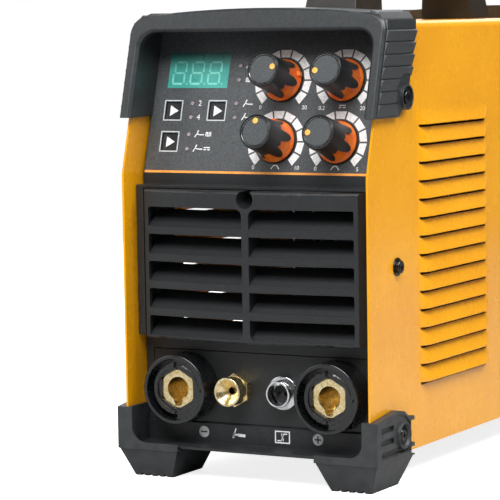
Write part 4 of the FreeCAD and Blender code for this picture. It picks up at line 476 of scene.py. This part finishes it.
    # Moulded orange ABS of the knobs' skirts: saturated and satin
    surface("knob_orange", (colours.skirt_dark, colours.skirt_light), 5, 0.8, 0.008, (0.3, 0.4), IOR=1.53)
    # Screen-printing ink: opaque, thinning a little here and there
    surface("print_white", ("#D9DBDC", "#F2F3F3"), 1.2, 0.4, 0.004, (0.45, 0.55), IOR=1.5)
    # The same ink in warm yellow, on a knob's dot
    surface("dot_yellow", ("#EFA33A", "#F5B95C"), 2, 0.5, 0.004, (0.35, 0.45), IOR=1.5)
    # In orange, for the line along the label; in grey, for frames and discs; in black, for strokes and for
    # the ring round each knob, which also paints the knob's shadow
    surface("print_orange", ("#E8923A", "#F3A448"), 4, 0.5, 0.004, (0.45, 0.55), IOR=1.5)
    surface("print_grey", ("#B4BABC", "#CCD1D2"), 1.2, 0.4, 0.004, (0.45, 0.55), IOR=1.5)
    surface("print_black", ("#101112", "#1A1C1D"), 2, 0.5, 0.004, (0.45, 0.55), IOR=1.5)
    # Lit segments behind the window: their glow is painted as a teal paler than the tint, with the hood's
    # shadow painted over their top
    paint_shadow_upwards(surface("digit_light", ("#6CC9BC", "#86D8CC"), 3, 1.0, 0.002, (0.25, 0.35), IOR=1.58))
    for name, node in NODES.items():
        node.data.materials.clear()
        node.data.materials.append(bpy.data.materials[SLOT_OF[name]])


# ------------------------------------------------------------------ user's sizes and colours
def colour(name, code):
    """A colour that a user may change, with its default as sRGB hex."""
    return FloatVectorProperty(name=name, description=f"{name}, as linear RGBA", subtype="COLOR", size=4,
                               min=0.0, max=1.0, default=linear(code))


class WelderColours(bpy.types.PropertyGroup):
    paint_dark: colour("Paint, darker", "#E59B06")
    paint_light: colour("Paint, lighter", "#ECA40A")
    moulding_dark: colour("Mouldings, darker", "#191B1D")
    moulding_light: colour("Mouldings, lighter", "#222527")
    guard_dark: colour("Corner guards, darker", "#222527")
    guard_light: colour("Corner guards, lighter", "#2C3032")
    overlay_dark: colour("Panel label, darker", "#343739")
    overlay_light: colour("Panel label, lighter", "#4C5053")
    skirt_dark: colour("Knob skirts, darker", "#EA6206")
    skirt_light: colour("Knob skirts, lighter", "#F8820C")


class WelderSizes(bpy.types.PropertyGroup):
    edge_round: FloatProperty(name="Edge rounding", default=0.3, min=0.05, max=0.6,
                              description="Rounding of the mouldings' edges, in millimetres")
    scale_inner: FloatProperty(name="Scale radius", default=13.1, min=12.6, max=14.5,
                               description="Inner radius of the scale printed round a knob, in millimetres")
    scale_length: FloatProperty(name="Scale mark", default=4.2, min=1.0, max=5.0,
                                description="Length of a scale mark, in millimetres")


# ------------------------------------------------------------------ operators
class WELDER_OT_finishes(bpy.types.Operator):
    """Make the finishes and give each CAD piece its own"""
    bl_idname = "welder.finishes"
    bl_label = "Finishes"

    def execute(self, context):
        make_finishes(context.scene.welder_colours)
        return {"FINISHED"}


class WELDER_OT_housing(bpy.types.Operator):
    """Round the edges of the corner guards, the feet, the handle, the front moulding and most fittings, and
    join up the cover's triangles without rounding them
    """
    bl_idname = "welder.housing"
    bl_label = "Housing"

    def execute(self, context):
        edge = context.scene.welder_sizes.edge_round
        for node, width, finish in (
                ("cover_shell", 0.0, None), ("front_hood", edge, "guard_plastic"),
                ("rear_hood", edge, "guard_plastic"), ("foot_front_left", edge, None),
                ("foot_front_right", edge, None), ("foot_rear_left", edge, None),
                ("foot_rear_right", edge, None), ("handle_body", 2 * edge, "handle_plastic"),
                ("handle_underside", 0.0, None), ("front_panel", edge, None), ("front_grille", 0.12, None),
                ("connector_plate", edge, None), ("rear_panel", 0.2, None), ("fan_guard", 0.0, None),
                ("case_screws", 0.15, "black_oxide"), ("socket_housing_negative", 0.2, "socket_nylon"),
                ("socket_housing_positive", 0.2, "socket_nylon"),
                ("socket_insert_negative", 0.15, None), ("socket_insert_positive", 0.15, None),
                ("power_switch_body", edge, None), ("power_switch_rocker", edge, None),
                ("cable_gland", edge, None), ("gas_outlet", 0.15, None), ("fan_rotor", 0.0, None),
                ("fan_housing", 0.0, None)):
            softened(node, width, finish)
        return {"FINISHED"}


def tapered(name, steps):
    """A flat outline, alike on both sides of Y, given as (half width, height) from its top down."""
    (top_half, top), (half, height), *rest = steps
    piece = start(name, "plane", size=2)
    shift_and_scale((0, (top + height) / 2, 0), (top_half, (top - height) / 2, 1))
    pick(piece, lambda spot, way: spot.y < height + 0.01, "VERT")
    bpy.ops.transform.resize(value=(half / top_half, 1, 1), center_override=(0, 0, 0))
    for next_half, next_height in rest:
        bpy.ops.mesh.extrude_edges_move(TRANSFORM_OT_translate={"value": (0, next_height - height, 0)})
        bpy.ops.transform.resize(value=(next_half / half, 1, 1), center_override=(0, 0, 0))
        half, height = next_half, next_height
    return piece


def knob_windows():
    """A prism for each gap round a knob, wide at the foot and notched at the top, that leaves the petals."""
    window = tapered("window", GAP_OUTLINE)
    top = GAP_OUTLINE[0][1]
    pick(window, lambda spot, way: spot.y > top - 0.01 and abs(way.x) > 0.9, "EDGE")
    bpy.ops.mesh.subdivide(number_cuts=1)
    pick(window, lambda spot, way: spot.y > top - 0.01 and abs(spot.x) < 0.01, "VERT")
    bpy.ops.transform.translate(value=(0, -GAP_NOTCH, 0))
    bpy.ops.mesh.select_all(action="SELECT")
    bpy.ops.mesh.extrude_region_move(TRANSFORM_OT_translate={"value": (0, 0, GAP_THROUGH)})
    bpy.ops.mesh.select_all(action="SELECT")
    bpy.ops.transform.translate(value=(0, 0, GAP_FROM))
    bpy.ops.mesh.normals_make_consistent(inside=False)
    bpy.ops.object.mode_set(mode="OBJECT")
    window.matrix_world = Matrix.Rotation(math.pi / 2, 4, "Z") @ Matrix.Rotation(math.pi / 2, 4, "X")
    bpy.ops.object.transform_apply(location=True, rotation=True, scale=True)
    bpy.ops.object.mode_set(mode="EDIT")
    bpy.ops.mesh.select_all(action="SELECT")
    repeat_round(PETALS, 360 / PETALS)
    bpy.ops.mesh.select_all(action="SELECT")
    bpy.ops.mesh.normals_make_consistent(inside=False)
    return window


class WELDER_OT_knobs(bpy.types.Operator):
    """Model the four knobs: a petalled black body, an orange skirt, a grey disc, a bright ring and a dot"""
    bl_idname = "welder.knobs"
    bl_label = "Knobs"

    def execute(self, context):
        for number, (x, v, degrees) in enumerate(KNOBS, 1):
            at = panel_place(x, v, 0.0, math.radians(degrees))
            body = f"knob_{number}"
            shell = turned(f"knob_{number}_shell", SHELL_OUTLINE, KNOB_SIDES)
            cut(shell, knob_windows())
            soften(shell, 0.15, 2, 40)
            place(shell, at, "knob_black", body, [f"knob_body_{number}"])
            skirt = turned(f"knob_{number}_skirt", SKIRT_OUTLINE, KNOB_SIDES)
            add("cube", POINTER_AT, POINTER_HALF, size=2)
            soften(skirt, 0.12, 2, 50)
            place(skirt, at, "knob_orange", body, [f"knob_skirt_{number}"])
            disc = turned(f"knob_{number}_disc", DISC_OUTLINE, KNOB_SIDES)
            place(disc, at, "knob_disc", body)
            trim = turned(f"knob_{number}_trim", TRIM_OUTLINE, KNOB_SIDES)
            place(trim, at, "disc_edge", body)
            dot = turned(f"knob_{number}_dot", DOT_OUTLINE, DOT_SIDES)
            place(dot, at @ Matrix.Translation((DOT_OUT, 0, 0)), "dot_yellow", body)
        return {"FINISHED"}


def ink(piece, at, material="print_white", thickness=PRINT_T, body=MAIN_BODY):
    """Gives a flat printed shape its thickness and places it."""
    bpy.ops.mesh.select_all(action="SELECT")
    bpy.ops.mesh.extrude_region_move(TRANSFORM_OT_translate={"value": (0, 0, thickness)})
    return place(piece, at, material, body)


def key_frame(name):
    """A square outline with rounded corners, open for editing."""
    piece = start(name, "plane", size=FRAME_W)
    bpy.ops.mesh.bevel(affect="VERTICES", offset=FRAME_CORNER, segments=4)
    bpy.ops.mesh.inset(thickness=FRAME_LINE)
    bpy.ops.mesh.delete(type="FACE")
    return piece


SIGN_LINE = 0.6         # width of a pictogram's strokes, mm
STROKE_OVER = 0.6       # how much longer than its points a stroke is, in widths, so that corners close


def stroke(points, width):
    """Adds straight strokes of one width between points, in the mesh being edited."""
    for (x0, y0), (x1, y1) in zip(points, points[1:]):
        length, angle = math.hypot(x1 - x0, y1 - y0), math.atan2(y1 - y0, x1 - x0)
        add("plane", scale=(length + STROKE_OVER * width, width, 1), size=1)
        # Without a window the operator turns the other way, hence the minus
        bpy.ops.transform.rotate(value=-angle, orient_axis="Z", center_override=(0, 0, 0))
        bpy.ops.transform.translate(value=((x0 + x1) / 2, (y0 + y1) / 2, 0))


def drawn(name, lines=(), width=SIGN_LINE):
    """A flat pictogram of strokes, open for editing and for more of them."""
    piece = start(name, "plane", size=1)
    bpy.ops.mesh.delete(type="VERT")
    for points in lines:
        stroke(points, width)
    return piece


def number_text(name, text, size):
    """A number as a flat mesh, middle at the origin, open for editing."""
    clear_for(name)
    bpy.ops.object.text_add()
    piece = bpy.context.object
    piece.name = name
    piece.data.body = text
    piece.data.size = size
    piece.data.align_x = "CENTER"
    piece.data.align_y = "CENTER"
    bpy.ops.object.convert(target="MESH")
    bpy.ops.object.mode_set(mode="EDIT")
    return piece


# Pictograms, each a group of strokes through these points, in mm about its middle
TORCH = ([(-2.6, -1.6), (-1.5, 0.2), (-0.7, 2.0)], [(-1.5, 0.2), (0.2, -0.3), (3.0, -0.3)])
PULSE = ([(-1.6, -1.0), (-1.6, 1.0), (-0.6, 1.0), (-0.6, -1.0),
          (0.4, -1.0), (0.4, 1.0), (1.4, 1.0), (1.4, -1.0)],)
RAMP = ([(-2.4, -1.0), (-1.0, 0.9), (1.0, 0.9), (2.4, -1.0)],)
FLAT = ([(-1.8, 0.6), (1.8, 0.6)], [(-1.8, -0.6), (-0.6, -0.6)], [(0.6, -0.6), (1.8, -0.6)])
MINUS = ([(-1.8, 0), (1.8, 0)],)
PLUS = ([(-1.8, 0), (1.8, 0)], [(0, -1.8), (0, 1.8)])

# Pictograms on the panel, and where the middle of each is
PANEL_SIGNS = (
    (TORCH, -12.5, 40.0), (TORCH, -12.5, 32.4), (TORCH, -41.0, 22.4), (TORCH, -41.0, 14.2),
    (PULSE, -35.0, 22.4), (FLAT, -35.0, 14.2), (RAMP, 9.3, 4.4), (RAMP, 46.0, 4.4),
    (FLAT, 46.2, 38.6), (PULSE, -13.5, 53.5), (RAMP, -13.5, 61.5))
# Numbers by the lamps of the first key, and at the ends of the scales: text, middle and height of type
LAMP_TYPE, SCALE_TYPE = 4.4, 3.2
PANEL_NUMBERS = (
    ("2", -42.8, 40.0, LAMP_TYPE), ("4", -42.8, 32.0, LAMP_TYPE),
    ("0", -4.3, 4.0, SCALE_TYPE), ("10", 22.6, 4.0, SCALE_TYPE),
    ("0", 34.1, 3.8, SCALE_TYPE), ("5", 59.5, 3.8, SCALE_TYPE),
    ("0", -4.3, 37.9, SCALE_TYPE), ("20", 23.1, 37.9, SCALE_TYPE),
    ("0.2", 33.8, 37.6, SCALE_TYPE), ("200", 59.3, 37.6, SCALE_TYPE))


class WELDER_OT_panel_print(bpy.types.Operator):
    """Print the control panel: a scale round each knob, frames, pictograms, numbers and the orange line"""
    bl_idname = "welder.panel_print"
    bl_label = "Panel printing"

    def execute(self, context):
        sizes = context.scene.welder_sizes
        for number, (x, v, _) in enumerate(KNOBS, 1):
            marks = start(f"knob_scale_{number}", "plane", size=1)
            bpy.ops.transform.resize(value=(MARK_FOOT, sizes.scale_length, 1), center_override=(0, 0, 0))
            pick(marks, lambda spot, way: spot.y > 0, "VERT")
            bpy.ops.transform.resize(value=(MARK_FLARE, 1, 1), center_override=(0, 0, 0))
            bpy.ops.mesh.select_all(action="SELECT")
            bpy.ops.transform.translate(value=(0, sizes.scale_inner + sizes.scale_length / 2, 0))
            repeat_round(SCALE_MARKS, 2 * SCALE_HALF / (SCALE_MARKS - 1))
            ink(marks, panel_place(x, v, PRINT_H, math.radians(SCALE_HALF)))
            # Dark ring round the skirt: print, with the knob's shadow painted into it
            ring = turned(f"knob_ring_and_shadow_{number}", RING_OUTLINE)
            place(ring, panel_place(x, v, PRINT_H), "print_black")
        for number, (x, v) in enumerate(BUTTONS, 1):
            ink(key_frame(f"button_frame_{number}"), panel_place(x, v, PRINT_H), "print_grey")
        line = start("panel_line", "plane", size=1)
        bpy.ops.transform.resize(value=(2 * PANEL_HALF_W - LINE_SHORT, LINE_W, 1), center_override=(0, 0, 0))
        ink(line, panel_place(0, LINE_V, PRINT_H), "print_orange")
        for number, (text, x, v, size) in enumerate(PANEL_NUMBERS, 1):
            ink(number_text(f"panel_number_{number}", text, size), panel_place(x, v, PRINT_H))
        for number, (lines, x, v) in enumerate(PANEL_SIGNS, 1):
            ink(drawn(f"panel_sign_{number}", lines, SIGN_LINE), panel_place(x, v, PRINT_H))
        return {"FINISHED"}


class WELDER_OT_keys(bpy.types.Operator):
    """Model the three keys, with a white triangle on each"""
    bl_idname = "welder.keys"
    bl_label = "Keys"

    def execute(self, context):
        for number, (x, v) in enumerate(BUTTONS, 1):
            body = f"button_{number}"
            key = start(f"key_{number}", "cube", size=2)
            shift_and_scale((0, 0, KEY_H), KEY_HALF)
            pick(key, lambda spot, way: way.z > 0.9)
            bpy.ops.mesh.inset(thickness=KEY_RIM)
            bpy.ops.transform.translate(value=(0, 0, KEY_DISH))
            soften(key, 0.3, 3)
            place(key, panel_place(x, v), "dark_key", body, [f"mode_button_{number}"])
            arrow = start(f"key_arrow_{number}", "circle", vertices=3, radius=ARROW_R, fill_type="NGON")
            bpy.ops.mesh.bevel(affect="VERTICES", offset=ARROW_CORNER, segments=2)
            ink(arrow, panel_place(x + ARROW_SHIFT, v, ARROW_H, -math.pi / 2), body=body)
        return {"FINISHED"}


class WELDER_OT_display(bpy.types.Operator):
    """Model three seven-segment digits with their points on the display's window"""
    bl_idname = "welder.display"
    bl_label = "Display"

    def execute(self, context):
        x0, x1, v0, v1 = WINDOW
        side, step = DIGIT_W / 2, DIGIT_H / 4
        flat = [((0, y), (DIGIT_W - DIGIT_GAP, DIGIT_LINE, 1)) for y in (2 * step, 0, -2 * step)]
        upright = [((x, y), (DIGIT_LINE, DIGIT_H / 2 - DIGIT_GAP, 1))
                   for y in (step, -step) for x in (-side, side)]
        for number in range(3):
            digit = start(f"digit_{number + 1}", "circle", vertices=12, radius=POINT_R, fill_type="NGON")
            bpy.ops.transform.translate(value=(side + POINT_OUT, -2 * step, 0))
            for (x, y), size in flat + upright:
                add("plane", (x + DIGIT_LEAN * y, y, 0), size, size=1)
            middle = (x0 + x1) / 2 + DIGIT_SHIFT[0] + (number - 1) * DIGIT_PITCH
            ink(digit, panel_place(middle, (v0 + v1) / 2 + DIGIT_SHIFT[1], DIGIT_RISE),
                "digit_light", DIGIT_T)
        return {"FINISHED"}


MINUS_X, TORCH_X, REMOTE_X, PLUS_X = -36.4, -14.8, 13.2, 35.2   # middles of the signs, mm
# Hand torch, each stroke with its width
TORCH_STROKES = (([(-3.2, -2.4), (-2.2, 0.2), (-1.2, 2.9)], 0.7), ([(-3.0, -2.0), (-2.2, 0.0)], 1.1),
                 ([(-2.0, -0.4), (0.4, -0.6)], 0.9), ([(0.4, -0.6), (4.2, -0.8)], 1.6))
# Remote control: a frame round two dots and three strokes
REMOTE_OUTLINE = ((4.7, 3.5), (4.7, -3.5))
REMOTE_LINE = 0.7
REMOTE_STROKES = ([(-3.0, -2.0), (0.6, -2.0)], [(-0.6, 1.8), (2.8, 1.8)], [(0, -1.4), (0, 1.4)])
REMOTE_DOTS, REMOTE_DOT_R = ((0, -1.4), (0, 1.2)), 0.9


class WELDER_OT_sill_signs(bpy.types.Operator):
    """Print the signs under the connectors: minus, torch, remote control and plus"""
    bl_idname = "welder.sill_signs"
    bl_label = "Signs under the connectors"

    def execute(self, context):
        over = Matrix.Translation((0, 0, PRINT_T))
        for name, x, strokes in (("minus", MINUS_X, MINUS), ("plus", PLUS_X, PLUS)):
            disc = start(f"sign_{name}_disc", "circle", vertices=32, radius=SIGN_DISC_R, fill_type="NGON")
            ink(disc, sill_place(x), "print_grey")
            ink(drawn(f"sign_{name}_stroke", strokes, DISC_LINE), sill_place(x) @ over,
                "print_black")
        torch = drawn("sign_torch")
        for points, width in TORCH_STROKES:
            stroke(points, width)
        ink(torch, sill_place(TORCH_X))
        remote = tapered("sign_remote", REMOTE_OUTLINE)
        bpy.ops.mesh.select_all(action="SELECT")
        bpy.ops.mesh.inset(thickness=REMOTE_LINE)
        bpy.ops.mesh.delete(type="FACE")
        for points in REMOTE_STROKES:
            stroke(points, SIGN_LINE)
        for spot in REMOTE_DOTS:
            add("circle", (*spot, 0), vertices=16, radius=REMOTE_DOT_R, fill_type="NGON")
        ink(remote, sill_place(REMOTE_X))
        return {"FINISHED"}


FLOOR_R = 1.3           # metres
FLOOR_AT = (0, 0.1, 0)
FLOOR_SHADE = 0.42      # how pale the floor is to every ray but the camera's
FLOOR_GLOW = 0.8        # what it adds to its own white, to the camera
AIR_SEEN, AIR_LIT = 1.0, 0.12   # strength of the white around, to the camera and to every other ray
# Lamps: name, place, width and height in metres, watts
LIGHTS = (("light_key", (0.25, -1.35, 1.62), (1.3, 1.1), 50.0),
          ("light_right", (1.35, 0.0, 1.75), (1.0, 1.0), 45.0),
          ("light_left", (-1.7, -1.3, 1.1), (1.0, 1.4), 12.0),
          ("light_back", (-1.0, 2.7, 1.3), (2.9, 2.4), 36.0))
LIGHTS_AIM = (0, 0, 0.14)
CAMERA_AT = (0.6702, -1.40998, 0.25757)
CAMERA_YAW, CAMERA_PITCH, CAMERA_ROLL = 28.817, 5.278, -0.908   # degrees
CAMERA_LENS, CAMERA_SENSOR = 184.12, 36.0   # mm


def floor_finish():
    """Matt white vinyl: white to the camera, and as grey to other rays as a small sheet on a dark floor."""
    shader = surface("studio_floor", ("#F3F3F2", "#F9F9F8"), 900, 40, 0.02, (0.6, 0.7))
    tree = shader.id_data
    seen = add_node(tree, "ShaderNodeLightPath").outputs["Is Camera Ray"]
    shade = add_node(tree, "ShaderNodeMix", {0: seen, 6: (FLOOR_SHADE, FLOOR_SHADE, FLOOR_SHADE, 1.0)},
                     data_type="RGBA")
    tree.links.new(shader.inputs["Base Color"].links[0].from_socket, shade.inputs[7])
    tree.links.new(shade.outputs[2], shader.inputs["Base Color"])
    glow = add_node(tree, "ShaderNodeMath", {0: seen, 1: FLOOR_GLOW}, operation="MULTIPLY")
    shader.inputs["Emission Color"].default_value = (1.0, 1.0, 1.0, 1.0)
    tree.links.new(glow.outputs[0], shader.inputs["Emission Strength"])
    return bpy.data.materials["studio_floor"]


def studio_air():
    """White behind the machine and dim elsewhere, so that shade stays dark."""
    world = bpy.data.worlds.new("studio")
    world.use_nodes = True
    tree = world.node_tree
    seen = add_node(tree, "ShaderNodeLightPath").outputs["Is Camera Ray"]
    strength = add_node(tree, "ShaderNodeMapRange", {0: seen, 3: AIR_LIT, 4: AIR_SEEN})
    sky = tree.nodes["Background"]
    sky.inputs["Color"].default_value = (1.0, 1.0, 1.0, 1.0)
    tree.links.new(strength.outputs[0], sky.inputs["Strength"])
    return world


def set_camera(scene):
    """Sets a long lens to the right of the machine's front and a little above it."""
    yaw, pitch, roll = (math.radians(turn) for turn in (CAMERA_YAW, CAMERA_PITCH, CAMERA_ROLL))
    ahead = Vector((-math.sin(yaw) * math.cos(pitch), math.cos(yaw) * math.cos(pitch), -math.sin(pitch)))
    across = Vector((math.cos(yaw), math.sin(yaw), 0))
    above = across.cross(ahead)
    right = across * math.cos(roll) + above * math.sin(roll)
    upward = above * math.cos(roll) - across * math.sin(roll)
    data = bpy.data.cameras.new("view_camera")
    data.lens = CAMERA_LENS
    data.sensor_width = CAMERA_SENSOR
    data.clip_start = 0.05
    camera = bpy.data.objects.new("view_camera", data)
    scene.collection.objects.link(camera)
    axes = Matrix((right, upward, -ahead)).transposed().to_4x4()
    camera.matrix_world = Matrix.Translation(CAMERA_AT) @ axes
    scene.camera = camera


class WELDER_OT_stage(bpy.types.Operator):
    """Lay a plain pale floor, hang soft studio lights and set the camera"""
    bl_idname = "welder.stage"
    bl_label = "Stage"

    def execute(self, context):
        for name in ("studio_floor", "view_camera", *(light[0] for light in LIGHTS)):
            forget(name)
        bpy.ops.object.select_all(action="DESELECT")
        bpy.ops.mesh.primitive_circle_add(vertices=64, radius=FLOOR_R, fill_type="NGON", location=FLOOR_AT)
        floor = context.object
        floor.name = "studio_floor"
        floor.data.materials.append(floor_finish())
        aim = Vector(LIGHTS_AIM)
        for name, spot, size, power in LIGHTS:
            bpy.ops.object.light_add(type="AREA", location=spot)
            lamp = context.object
            lamp.name = name
            lamp.data.shape = "RECTANGLE"
            lamp.data.size, lamp.data.size_y = size
            lamp.data.energy = power
            lamp.visible_camera = False
            lamp.rotation_euler = (aim - Vector(spot)).to_track_quat("-Z", "Y").to_euler()
        context.scene.world = studio_air()
        context.scene.view_settings.view_transform = "Standard"
        set_camera(context.scene)
        return {"FINISHED"}


OPERATORS = (WELDER_OT_finishes, WELDER_OT_housing, WELDER_OT_knobs, WELDER_OT_panel_print, WELDER_OT_keys,
             WELDER_OT_display, WELDER_OT_sill_signs, WELDER_OT_stage)


class WELDER_PT_pieces(bpy.types.Panel):
    """Lists the pieces and the sizes and colours that they take"""
    bl_idname = "WELDER_PT_pieces"
    bl_label = "Welding machine"
    bl_space_type = "VIEW_3D"
    bl_region_type = "UI"
    bl_category = "Welder"

    def draw(self, context):
        for group in (context.scene.welder_sizes, context.scene.welder_colours):
            for name in group.bl_rna.properties.keys():
                if name not in ("rna_type", "name"):
                    self.layout.prop(group, name)
        for operator in OPERATORS:
            self.layout.operator(operator.bl_idname)


CLASSES = (WelderColours, WelderSizes, *OPERATORS, WELDER_PT_pieces)


def register():
    for kind in CLASSES:
        bpy.utils.register_class(kind)
    bpy.types.Scene.welder_colours = PointerProperty(type=WelderColours)
    bpy.types.Scene.welder_sizes = PointerProperty(type=WelderSizes)


def unregister():
    del bpy.types.Scene.welder_sizes
    del bpy.types.Scene.welder_colours
    for kind in reversed(CLASSES):
        bpy.utils.unregister_class(kind)


def main():
    register()
    for operator in OPERATORS:
        getattr(bpy.ops.welder, operator.bl_idname.split(".")[1])()


if __name__ == "__main__":
    main()
